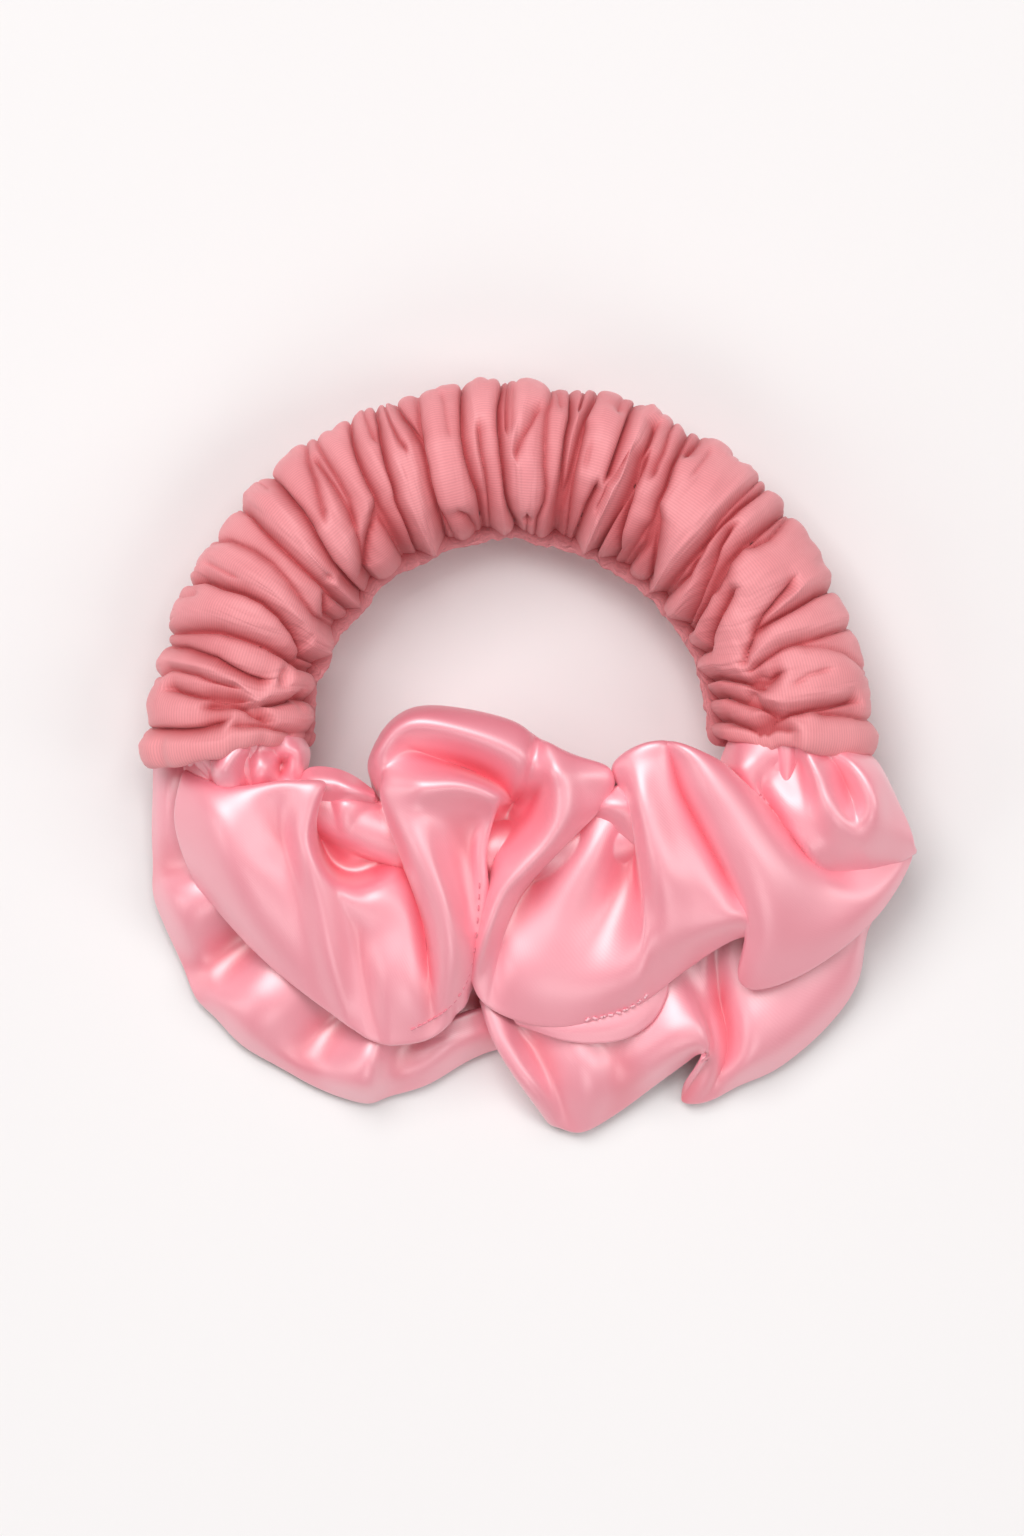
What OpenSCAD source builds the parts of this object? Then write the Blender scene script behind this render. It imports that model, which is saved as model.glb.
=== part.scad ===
// Two-fabric scrunchie: a ruched jersey arch over a padded roll, closed by a
// double satin ruffle, with one elastic loop running through both.
// Millimetres. +Z is up and the ring lies flat. The origin is the centre of
// the ring, on the surface that it rests on. The jersey arch is on the +Y
// side and the satin ruffle on the -Y side.

/* [Ring] */
// Radius of the ring's centre line
ring_r = 46; // [44:0.5:48]
// Height of the ring's centre line above the table
ring_z = 13; // [12.8:0.1:13.4]
// How far the elastic's lower run drops below the ring's centre
drop = 18; // [17:0.5:20]

/* [Jersey sleeve] */
// Radius of the sleeve over the tops of its gathers
sleeve_r = 13.9; // [13.6:0.1:14.2]
// Radius of the hollow that holds the padding
cavity_r = 11.2; // [10.8:0.1:11.4]
// Depth of the grooves between the gathers
gather_depth = 1.3; // [0.5:0.1:1.5]
// Number of gathers along the arch
gather_count = 24; // [16:1:30]

/* [Padding] */
// Radius of the wadding roll
padding_r = 10.2; // [9:0.1:10.2]
// Radius of the channel for the elastic
channel_r = 4; // [3.7:0.1:5]

/* [Elastic] */
// Width of the braided elastic
elastic_w = 6; // [4:0.5:6.5]
// Thickness of the braided elastic
elastic_t = 1.2; // [0.8:0.1:1.2]
// Length of the sewn overlap, as an angle along the arch
overlap_span = 18; // [12:1:24]

/* [Satin] */
// Radius of the gathered casing round the elastic
casing_r = 6.2; // [5.9:0.1:6.5]
// Radius of the bunched satin where it leaves the sleeve
neck_r = 6.6; // [6.3:0.1:6.8]
// Thickness of each ruffle, two layers of cloth with their loft
ruffle_t = 1.8; // [1.2:0.1:1.8]
// Thickness of the turned-in closing hem
hem_t = 1; // [0.6:0.1:1.2]
// Length of one stitch
stitch_l = 1.7; // [1.4:0.1:1.9]

/* [Hidden] */

$fn = 64;
gap = 0.3;             // clearance between solids that move apart
far = 200;             // larger than the whole part
neck_l = 5;            // the necks end this far below the ring's centre
casing_wall = 1.2;
neck_bore_r = 4.2;
thread_r = 0.25;
thread_lift = 0.05;    // a thread stands this clear of the cloth it holds
sole_w = 5;            // the underside of the arch is pressed flat this wide
sole_t = 0.6;

// The elastic's lower run is one arc through both ends of the arch.
low_r = (ring_r*ring_r + drop*drop)/(2*drop);
low_y = low_r - drop;
low_span = 2*asin(ring_r/low_r);
low_extra = 8;         // the arc starts this many degrees inside the sleeve

// The sleeve's surface: stations along the arch, and sides round the tube.
stations = 4*gather_count;
inner_every = 4;       // the cavity has one station for every four outside
sides = 16;
side_step = 360/sides;

// Each rib of a ruffle is [gathered edge, free edge], from right to left.
front_ribs = [
    [[55, -3, 18.5],  [66, -17, 16]],
    [[45, -3, 22],    [60, -28, 19]],
    [[38, -4, 21],    [48, -39, 16]],
    [[31, -1, 25],    [38, -39, 22]],
    [[23, -1, 25],    [26, -40, 19]],
    [[15, -5, 20.5],  [14, -46, 18]],
    [[8, -3, 24],     [3, -47, 19]],
    [[0, 1, 27],      [-5, -38, 18]],
    [[-8, 4, 27],     [-12, -47, 19]],
    [[-16, 4, 25],    [-21, -49, 17]],
    [[-24, -3, 21.5], [-32, -44, 20]],
    [[-34, -7, 21.6], [-45, -32, 18]],
    [[-47, -6, 21],   [-55, -15, 17]]
];
back_ribs = [
    [[49, -5, 3.4],   [58, -26, 4]],
    [[44, -10, 3.4],  [53, -43, 1.1]],
    [[39, -14, 3.4],  [43, -53, 5]],
    [[33, -18, 3.4],  [31, -58, 1.1]],
    [[27, -21, 3.4],  [25, -54, 9]],
    [[18, -23, 3.4],  [18, -60, 3]],
    [[9, -24, 3.4],   [9, -63, 1.1]],
    [[3, -25, 3.4],   [1, -55, 7]],
    [[-4, -25, 3.4],  [-4, -50, 9]],
    [[-12, -24, 3.4], [-14, -55, 3]],
    [[-20, -22, 3.4], [-23, -58, 1.1]],
    [[-28, -20, 3.4], [-35, -55, 5]],
    [[-36, -16, 3.4], [-45, -49, 1.1]],
    [[-42, -11, 3.4], [-53, -39, 4]],
    [[-46, -7, 3.4],  [-58, -24, 1.1]]
];
hem_ribs = [
    [[25, -37, 15.5], [25, -41, 15]],
    [[20, -38, 15.5], [21, -48, 15]],
    [[12, -39, 15.5], [13, -50, 15]],
    [[3, -40, 15.5],  [2, -46, 15]]
];
front_mid_z = 22.5;    // the front ruffle passes over the casing here
back_mid_z = 3;        // the back ruffle passes under it here
hem_mid_z = 15.5;
rib_steps = 4;         // surface samples between one rib and the next
cross_steps = 8;       // surface samples from gathered edge to free edge
topstitch_at = 0.93;   // where the topstitching runs, from 0 to 1 across
topstitch_from = 4;    // first and last rib with topstitching
topstitch_to = 10;
hem_stitch_at = 0.5;

// A Catmull-Rom curve through list p, at t from 0 to len(p) - 1.
function clamped(p, i) = p[max(0, min(len(p) - 1, i))];
function blend4(a, b, c, d, f) =
    0.5*(2*b + (c - a)*f + (2*a - 5*b + 4*c - d)*f*f
         + (3*b - a - 3*c + d)*f*f*f);
function on_curve(p, t) =
    let (i = min(len(p) - 2, floor(t)))
    blend4(clamped(p, i - 1), clamped(p, i), clamped(p, i + 1),
           clamped(p, i + 2), t - i);

// A ruffle's middle surface: rib position t, and s from 0 gathered to 1 free.
function ruffle_point(ribs, mid_z, t, s) =
    let (a = on_curve([for (r = ribs) r[0]], t),
         b = on_curve([for (r = ribs) r[1]], t),
         m = [(a.x + b.x)/2, (a.y + b.y)/2, mid_z])
    a*(1 - s)*(1 - s) + (2*m - (a + b)/2)*2*s*(1 - s) + b*s*s;

// Triangles between two neighbouring rows of n points, starting at a and b.
function strip(a, b, n, closed = false) =
    [for (j = [0:(closed ? n - 1 : n - 2)])
        let (k = (j + 1) % n)
        each [[a + j, a + k, b + k], [a + j, b + k, b + j]]];
function flipped(faces) = [for (f = faces) [f[2], f[1], f[0]]];

// A sheet of even thickness whose middle surface follows the ribs.
module ruffle_sheet(ribs, mid_z, thickness) {
    nu = (len(ribs) - 1)*rib_steps + 1;
    nv = cross_steps + 1;
    n = nu*nv;
    lift = [0, 0, thickness/2];
    middle = [for (i = [0:nu - 1], j = [0:nv - 1])
        ruffle_point(ribs, mid_z, i/rib_steps, j/cross_steps)];
    top = [for (i = [0:nu - 2]) each strip(i*nv, (i + 1)*nv, nv)];
    rim = concat([for (j = [0:nv - 1]) j],
                 [for (i = [1:nu - 1]) i*nv + nv - 1],
                 [for (j = [nv - 2:-1:0]) (nu - 1)*nv + j],
                 [for (i = [nu - 2:-1:1]) i*nv]);
    wall = [for (k = [0:len(rim) - 1])
        let (a = rim[k], b = rim[(k + 1) % len(rim)])
        each [[b, a, n + a], [b, n + a, n + b]]];
    polyhedron(concat([for (p = middle) p + lift], [for (p = middle) p - lift]),
               concat(top, flipped([for (f = top) f + [n, n, n]]), wall));
}

// Radius of the ruched sleeve at station i and side j. The grooves lean a
// little round the tube and vary in depth, as gathered cloth does.
function ruched_r(i, j) =
    let (lean = 24*sin(i*1080/stations)*sin(j*side_step),
         groove = 0.5 + 0.5*cos(i*90 + lean),
         depth = gather_depth*(0.75 + 0.25*sin(i*47)))
    sleeve_r - depth*groove;

// A point of the tube at angle a along the arch, radius r and side j. The
// bottom stops inside the flat sole.
function tube_point(a, r, j) =
    let (turn = -90 + side_step*(j - 0.5),
         out = ring_r + r*cos(turn))
    [out*cos(a), out*sin(a), max(sole_t/3, ring_z + r*sin(turn))];

module ruched_tube() {
    inner_stations = stations/inner_every;
    first_inner = (stations + 1)*sides;
    last_inner = first_inner + inner_stations*sides;
    outer = [for (i = [0:stations], j = [0:sides - 1])
        tube_point(i*180/stations, ruched_r(i, j), j)];
    inner = [for (i = [0:inner_stations], j = [0:sides - 1])
        tube_point(i*180/inner_stations, cavity_r, j)];
    outer_wall = [for (i = [0:stations - 1])
        each strip(i*sides, (i + 1)*sides, sides, true)];
    inner_wall = [for (i = [0:inner_stations - 1])
        each strip(first_inner + i*sides, first_inner + (i + 1)*sides,
                   sides, true)];
    polyhedron(concat(outer, inner),
               concat(outer_wall, flipped(inner_wall),
                      strip(first_inner, 0, sides, true),
                      strip(stations*sides, last_inner, sides, true)));
}

// The ruched tube with the band of its underside that lies on the table.
module jersey_sleeve() {
    color("#d98a8f") {
        ruched_tube();
        along_arch()
            translate([-sole_w/2, -ring_z])
                square([sole_w, sole_t]);
    }
}

// Sweeps a profile, centred on the ring's centre line, round the arch.
module along_arch(start = 0, span = 180) {
    rotate([0, 0, start])
        rotate_extrude(angle = span)
            translate([ring_r, ring_z])
                children();
}

// Sweeps the same profile along the lower run, between two levels in Y.
module along_drop(top, bottom) {
    intersection() {
        translate([0, low_y, 0])
            rotate([0, 0, -90 - low_span/2 - low_extra])
                rotate_extrude(angle = low_span + 2*low_extra)
                    translate([low_r, ring_z])
                        children();
        translate([-far/2, bottom, -far/2])
            cube([far, top - bottom, far]);
    }
}

// Keeps one side of a symmetrical pair: -1 is left and 1 is right.
module one_side(side) {
    intersection() {
        children();
        translate([side > 0 ? 0 : -far, -far/2, -far/2])
            cube([far, far, far]);
    }
}

// The sleeve's closing seam, inside the cavity on the ring's inner side.
module sleeve_seam_thread() {
    color("#c9767c")
        along_arch(1, 178)
            translate([-(padding_r + thread_r + thread_lift), 0])
                circle(thread_r, $fn = 16);
}

module padding_roll() {
    color("#f4efe9")
        along_arch(0.5, 179)
            difference() {
                circle(padding_r);
                circle(channel_r);
            }
}

module elastic_profile(layers = 1) {
    translate([-elastic_t/2, -elastic_w/2])
        square([layers*elastic_t, elastic_w]);
}

// The arch's run of the elastic, with its two ends lapped at the top.
module elastic_arch() {
    color("#f2ece6") {
        along_arch() elastic_profile();
        along_arch(90 - overlap_span/2, overlap_span) elastic_profile(2);
    }
}

// Two rows of zigzag stitches through the lapped ends.
module elastic_bar_tacks() {
    tack_w = 0.35;
    tack_count = 5;
    tack_turn = 25;
    tack_r = ring_r + 1.5*elastic_t + thread_r;
    color("#ffffff")
        for (end = [-1, 1], k = [0:tack_count - 1])
            rotate([0, 0, 90 + end*overlap_span/3])
                translate([tack_r, 0,
                           ring_z + (k - 2)*elastic_w/(tack_count + 1)])
                    rotate([(k % 2 == 0) ? tack_turn : -tack_turn, 0, 0])
                        cube([2*thread_r, stitch_l, tack_w], center = true);
}

// Bunched satin between the sleeve's end and the start of the ruffles.
module neck(side) {
    color("#f28fa6")
        one_side(side)
            along_drop(-gap, -neck_l)
                difference() {
                    circle(neck_r);
                    circle(neck_bore_r);
                }
}

// The ring of thread that sews the sleeve's end to the satin.
module join_thread(side) {
    join_r = sleeve_r - 3*thread_r;
    color("#d9737f")
        translate([side*ring_r, -gap - 2*thread_r, ring_z])
            rotate([90, 0, 0])
                rotate_extrude()
                    translate([join_r, 0])
                        circle(2*thread_r, $fn = 16);
}

module elastic_side(side) {
    color("#f2ece6")
        one_side(side)
            along_drop(-gap, -neck_l)
                elastic_profile();
}

module satin_casing() {
    color("#f5a3b5")
        along_drop(-neck_l - gap, -far/2)
            difference() {
                circle(casing_r);
                circle(casing_r - casing_wall);
            }
}

module elastic_lower() {
    color("#f2ece6")
        along_drop(-neck_l - gap, -far/2)
            elastic_profile();
}

// The gathering stitches over (1) or under (-1) the casing.
module gather_thread(side) {
    color("#e3899b")
        along_drop(-neck_l - gap, -far/2)
            translate([0, side*(casing_r + thread_r + thread_lift)])
                circle(thread_r, $fn = 16);
}

module satin_back_ruffle() {
    color("#f7a9ba")
        ruffle_sheet(back_ribs, back_mid_z, ruffle_t);
}

module satin_front_ruffle() {
    color("#fbb6c6")
        ruffle_sheet(front_ribs, front_mid_z, ruffle_t);
}

// The turned-in edge that closes the satin tube, under the front ruffle.
module closing_hem() {
    color("#f9aebf")
        ruffle_sheet(hem_ribs, hem_mid_z, hem_t);
}

// One straight stitch lying from point a towards point b.
module stitch(a, b) {
    d = b - a;
    translate((a + b)/2)
        rotate([0, -atan2(d.z, norm([d.x, d.y])), atan2(d.y, d.x)])
            cube([stitch_l, 2*thread_r, thread_r], center = true);
}

// Stitches on top of a sheet, at fraction s across it, from rib to rib.
module stitch_row(ribs, mid_z, thickness, s, from, to, per_rib) {
    lift = [0, 0, thickness/2 + 2*thread_r];
    color("#fff2f4")
        for (i = [from*per_rib:to*per_rib - 1])
            stitch(ruffle_point(ribs, mid_z, i/per_rib, s) + lift,
                   ruffle_point(ribs, mid_z, (i + 0.7)/per_rib, s) + lift);
}

module front_edge_stitches() {
    stitch_row(front_ribs, front_mid_z, ruffle_t, topstitch_at,
               topstitch_from, topstitch_to, 3);
}

module closing_hem_stitches() {
    stitch_row(hem_ribs, hem_mid_z, hem_t, hem_stitch_at,
               0, len(hem_ribs) - 1, 2);
}

jersey_sleeve();
sleeve_seam_thread();
padding_roll();
elastic_arch();
elastic_bar_tacks();
neck(-1);  // left_neck
neck(1);  // right_neck
join_thread(-1);  // left_join_thread
join_thread(1);  // right_join_thread
elastic_side(-1);  // elastic_left
elastic_side(1);  // elastic_right
satin_casing();
elastic_lower();
satin_back_ruffle();
gather_thread(-1);  // back_gather_thread
satin_front_ruffle();
gather_thread(1);  // front_gather_thread
front_edge_stitches();
closing_hem();
closing_hem_stitches();
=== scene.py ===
"""A two-fabric scrunchie: a ruched jersey sleeve over a stuffed arch, closed by a wide satin ruffle."""
import math

import bpy
import numpy as np
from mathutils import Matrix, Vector


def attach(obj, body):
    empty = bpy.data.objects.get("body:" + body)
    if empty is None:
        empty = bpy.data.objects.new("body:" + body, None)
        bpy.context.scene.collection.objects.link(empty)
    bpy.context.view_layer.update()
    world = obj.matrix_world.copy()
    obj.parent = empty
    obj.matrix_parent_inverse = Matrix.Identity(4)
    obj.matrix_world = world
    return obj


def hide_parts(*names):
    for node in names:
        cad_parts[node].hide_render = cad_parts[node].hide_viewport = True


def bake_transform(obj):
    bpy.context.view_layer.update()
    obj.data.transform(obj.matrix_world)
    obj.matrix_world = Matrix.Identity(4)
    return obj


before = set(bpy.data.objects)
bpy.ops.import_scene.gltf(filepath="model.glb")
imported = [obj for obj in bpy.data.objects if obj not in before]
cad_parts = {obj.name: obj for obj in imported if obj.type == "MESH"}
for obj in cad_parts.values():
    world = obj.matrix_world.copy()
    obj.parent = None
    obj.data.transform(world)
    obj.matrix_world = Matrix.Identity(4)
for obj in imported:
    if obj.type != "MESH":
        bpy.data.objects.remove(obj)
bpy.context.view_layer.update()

MM = 0.001

# ---------------------------------------------------------------- sizes, in millimetres
RING_R = 46.0          # centre line of the arch
RING_Z = 13.0          # height of the centre line above the floor
DROP = 18.0            # the lower run hangs this far below the arch's ends
LOWER_R = (RING_R ** 2 + DROP ** 2) / (2 * DROP)
SLEEVE_R = 13.6        # outside of the ruched jersey tube
SLEEVE_WALL_R = 10.3   # its smooth inside
FOLD_DEPTH = 3.5       # from the top of a ruched fold to the bottom of its crease
HOLLOW_DEPTH = 2.2     # a hollow of the satin this deep gets the full painted shade
LIP_R = 3.6            # roll of the sleeve's open ends
PADDING_R = 9.8        # the wadding roll
CASING_R = 3.7         # gathered close round the elastic
NECK_R = 9.6           # the pleated ends, where they come out of the sleeve
THREAD_R = 0.2         # gathering threads and join stitches
SATIN_T = 1.0          # two layers of satin and a turned edge
HEM_T = 0.9            # the turned-in closing hem

# ------------------------------------------------- the sleeve's creases
# Each is (strength, lean, [(angle round the ring in degrees, distance from its centre in mm), ...]).
# A positive lean tips the fold on the far side of the crease over it, a negative one the near side.
CREASES = [
    (0.9, 1, [(174.4, 50), (174.1, 46.5), (175.1, 42.6), (177.6, 39)]),
    (0.9, 1, [(173.8, 40), (171.6, 35.6), (170.5, 34)]),
    (0.7, 1, [(170, 59), (168.6, 57.7), (168.9, 52.7), (169.9, 49.2), (170.5, 45)]),
    (0.9, -1, [(164.4, 60), (163.8, 56), (164, 50), (165.2, 45.7), (165.7, 43.4), (166, 40.3)]),
    (1.0, 1, [(162.5, 59.7), (161.2, 55.4), (160.1, 50.8), (159.9, 46.5), (160.1, 41.8), (160.9, 38.7),
              (162.8, 35.2)]),
    (0.3, 0, [(157, 60), (155.6, 57)]),
    (1.0, 1, [(154.6, 60.4), (153, 57), (152.7, 53.5), (151.9, 49.6), (151.8, 46), (152.7, 42.2),
              (154.9, 38.7), (157.8, 36.4), (160, 35.6)]),
    (0.3, 0, [(150, 58), (150, 52)]),
    (0.6, -1, [(145.6, 60.8), (144.1, 57), (143.4, 52.3), (143.4, 48.4), (144.2, 44.6), (145.8, 40.3),
               (147.4, 36.8)]),
    (0.8, 0, [(142.9, 37.2), (145.8, 35)]),
    (0.9, 1, [(140.1, 60.8), (139.8, 57.3), (140.3, 52.3), (140.6, 47.7), (141, 43.4), (141.4, 39.1),
              (142, 35.2)]),
    (0.9, -1, [(131.6, 60.4), (131.6, 56.2), (131.9, 50.8), (132.7, 46.5), (133.8, 42.2), (134.4, 39.9),
               (134.6, 35.2)]),
    (0.3, 0, [(134, 59.7), (133.5, 57)]),
    (0.4, 0, [(135.6, 37), (135.6, 35)]),
    (0.6, 1, [(125.3, 60.1), (126.6, 57), (127.5, 53.5), (128.8, 50.1), (130, 47)]),
    (0.6, 0, [(125.3, 56.6), (125.1, 50.5), (125.3, 45.8), (125.9, 42.8), (126.9, 39.7), (128.1, 37.4),
              (130, 35.1)]),
    (0.6, 0, [(123.4, 60.1), (123.6, 51.6), (124.1, 47.4), (125.3, 44.3), (125.9, 42.8)]),
    (0.8, -1, [(120.3, 43.5), (121.9, 41.6), (124.4, 39.7), (127.5, 37), (130, 35.3)]),
    (0.9, 1, [(117.5, 59.7), (118.4, 57), (119.2, 53.2), (119.8, 48.5), (120, 43.9), (120.2, 40.5),
              (120.6, 34.3)]),
    (0.7, 0, [(120.3, 42), (121.1, 37.4), (121.6, 34.3)]),
    (0.5, 0, [(115, 59.7), (115.2, 54.3)]),
    (0.9, 1, [(113, 60.1), (113.4, 56.6), (114.4, 52.8), (115.2, 48.9), (115.6, 45.8), (116.4, 42),
              (117.5, 34.3)]),
    (0.6, 0, [(110.9, 60.1), (110.9, 56.2), (110.5, 52.8), (109.7, 50.5)]),
    (0.9, -1, [(108.4, 59.7), (107.7, 56.2), (106.7, 53.2), (106.1, 50.8), (106.3, 46.6), (106.7, 43.5),
               (107, 34.3)]),
    (0.6, 0, [(105, 59.7), (105.3, 56.2), (105.9, 51.2)]),
    (0.5, 0, [(106.7, 38.2), (105.6, 35.8), (105, 33.5)]),
    (0.3, 0, [(101.6, 58), (101.8, 50.8)]),
    (0.6, 0, [(102.8, 37.4), (101.3, 35.8), (100.3, 33.5)]),
    (0.9, 1, [(98.6, 59), (99.2, 55), (99.7, 50.5), (99.7, 46.6), (99.2, 42.4), (98.4, 39.3), (98.1, 33.5)]),
    (0.6, 0, [(96.3, 52), (96.4, 47.4), (96.1, 42.8), (96.3, 33.5)]),
    (0.9, 1, [(92, 58.2), (92.7, 54.7), (92.8, 50.8), (92.5, 46.6), (92, 38.9), (91.3, 36.2), (89.7, 33.5)]),
    (0.6, 0, [(91.1, 59), (91.3, 50.5)]),
    (0.3, 0, [(90.2, 58), (90.2, 51)]),
    (0.6, -1, [(84.8, 55), (85.9, 52), (87.5, 48.9), (88.8, 45.8)]),
    (0.4, 0, [(86.3, 36), (86.3, 33.5)]),
    (0.6, 0, [(83.4, 58.5), (83.6, 49.3), (83.3, 44.7), (82.3, 40.5), (82.2, 37.8), (83.3, 35)]),
    (0.4, 0, [(82.7, 58.5), (81.9, 55.5)]),
    (0.9, 1, [(80.6, 58.2), (80, 54.3), (80.1, 50.5), (79.7, 45.8), (79.1, 41.6), (78, 33.5)]),
    (0.7, 0, [(78, 58.5), (78.3, 55.8)]),
    (0.9, -1, [(75.6, 58.2), (76.6, 54.3), (77, 50.5), (77.3, 43.5), (77.8, 39.7), (78.3, 37)]),
    (0.6, 0, [(76.3, 53.5), (76.4, 46.6), (76.3, 42), (75.5, 33.5)]),
    (0.3, 0, [(74.6, 50), (74.6, 46)]),
    (0.5, 0, [(72.3, 60), (72.3, 57)]),
    (0.9, 1, [(71.9, 43.5), (72.7, 38.9), (73.1, 33.5)]),
    (0.9, 1, [(70.5, 59), (70.5, 54.3), (70.4, 45)]),
    (0.4, 0, [(67.8, 50.5), (68.8, 46.6), (69.7, 42.8), (70.3, 38.9)]),
    (0.9, -1, [(64.7, 57.8), (64.4, 54.3), (64.4, 50.8), (63.6, 46.6), (63.4, 43.5), (64.2, 33.5)]),
    (0.9, -1, [(63.4, 52), (63.1, 49.3), (62.8, 45.5), (61.9, 41.2), (60.9, 37.4), (59.1, 34.3)]),
    (0.6, 0, [(62.5, 58.5), (61.7, 55), (61.1, 51.2), (60.6, 48.9)]),
    (0.9, -1, [(59.2, 58.5), (59.2, 55.8), (58.8, 52.4), (57.8, 48.5), (57.3, 44.7), (56.4, 41.2),
               (55, 37.4)]),
    (0.8, 0, [(57.3, 58.2), (57.8, 55)]),
    (0.9, 1, [(56.9, 43.9), (54.4, 40), (52.2, 36.6), (49.7, 33.2)]),
    (0.6, 0, [(57, 40.5), (56.3, 33.5)]),
    (0.3, 0, [(55.2, 57.4), (55.2, 52.4)]),
    (0.6, 0, [(45.9, 58.2), (46.1, 52.4), (45.6, 49.3), (44.8, 45.5)]),
    (0.9, -1, [(44.1, 58.2), (44.8, 53.5), (44.7, 48.2), (44.4, 44.7), (44.1, 38.9), (43.1, 34.3)]),
    (0.8, 0, [(44.4, 44.7), (43.1, 41.2), (41.9, 38.2)]),
    (0.9, -1, [(42.8, 50.5), (41.6, 46.6), (39.7, 43.2), (37.5, 39.7), (35, 36.6), (31.9, 33.2)]),
    (1.0, -1, [(39.1, 58.2), (39.1, 54.3), (38.9, 49.3), (38.1, 45.5), (36.3, 41.6), (33.1, 37.4),
               (29.7, 33.5)]),
    (0.6, 0, [(38.1, 60), (37.3, 54.3), (38, 50.5)]),
    (0.9, -1, [(33.1, 43.5), (30, 39.3), (26.3, 35.8), (23.1, 34.3)]),
    (0.6, 0, [(37.2, 44.7), (35.6, 42), (34.4, 40.5)]),
    (0.7, 1, [(30, 53.2), (28.4, 49.3), (26.6, 45.8), (23.8, 42.8), (21.3, 40.5), (18.8, 39.3)]),
    (0.9, -1, [(24.4, 59.7), (24.7, 56.2), (24.2, 51.2), (23.8, 43.2)]),
    (0.7, -1, [(17.7, 59.7), (18.1, 55), (18.3, 50.5), (18, 46.6), (16.9, 42.8), (15.6, 40)]),
    (0.4, 1, [(12.2, 60), (15, 56.6), (16.9, 52.8), (18.1, 49.7)]),
    (0.3, 0, [(12.8, 53.2), (12.5, 49.7), (11.3, 47)]),
    (1.0, 0, [(13.8, 45), (12.5, 42.4), (11.6, 39.7)]),
    (0.9, -1, [(6.4, 57), (5.9, 53.2), (5.5, 48.9), (4.8, 45.5), (3.1, 42.4), (0, 39.3)]),
    (0.6, 0, [(3.8, 58.2), (4.4, 54.3), (4.8, 50.5)]),
    (0.7, 0, [(1.2, 45.5), (0.3, 43), (-0.3, 40.5)]),
    (1.0, -1, [(10.6, 41), (13, 37.5), (15, 34)]),
    (1.0, -1, [(4.0, 43.5), (6.5, 39.5), (10, 34)]),
    (1.0, -1, [(0.4, 46), (1.2, 40), (3.8, 34)]),
    (0.6, 1, [(178.2, 45), (178.5, 41), (179.2, 37), (180, 34)]),
    (0.9, -1, [(176.9, 59), (177.3, 54), (177.2, 50), (176.6, 46.5)]),
    (0.9, 1, [(171.8, 57), (172.6, 52), (173.2, 47), (173, 43)]),
]
# Small deep pits where folds meet: (angle, distance from the ring's centre, radius in mm, depth in mm).
PITS = [
    (179.5, 57, 1.6, 1.0), (175, 41.3, 1.3, 2.0), (171.3, 34, 1.2, 1.6), (165.6, 37.6, 1.2, 2.0),
    (138.2, 38.7, 1.2, 1.4), (86.3, 34.7, 1.0, 1.0), (12.3, 41.5, 1.3, 1.6), (7.6, 39, 1.2, 1.8),
    (0.3, 45.8, 1.1, 1.6),
]

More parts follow.
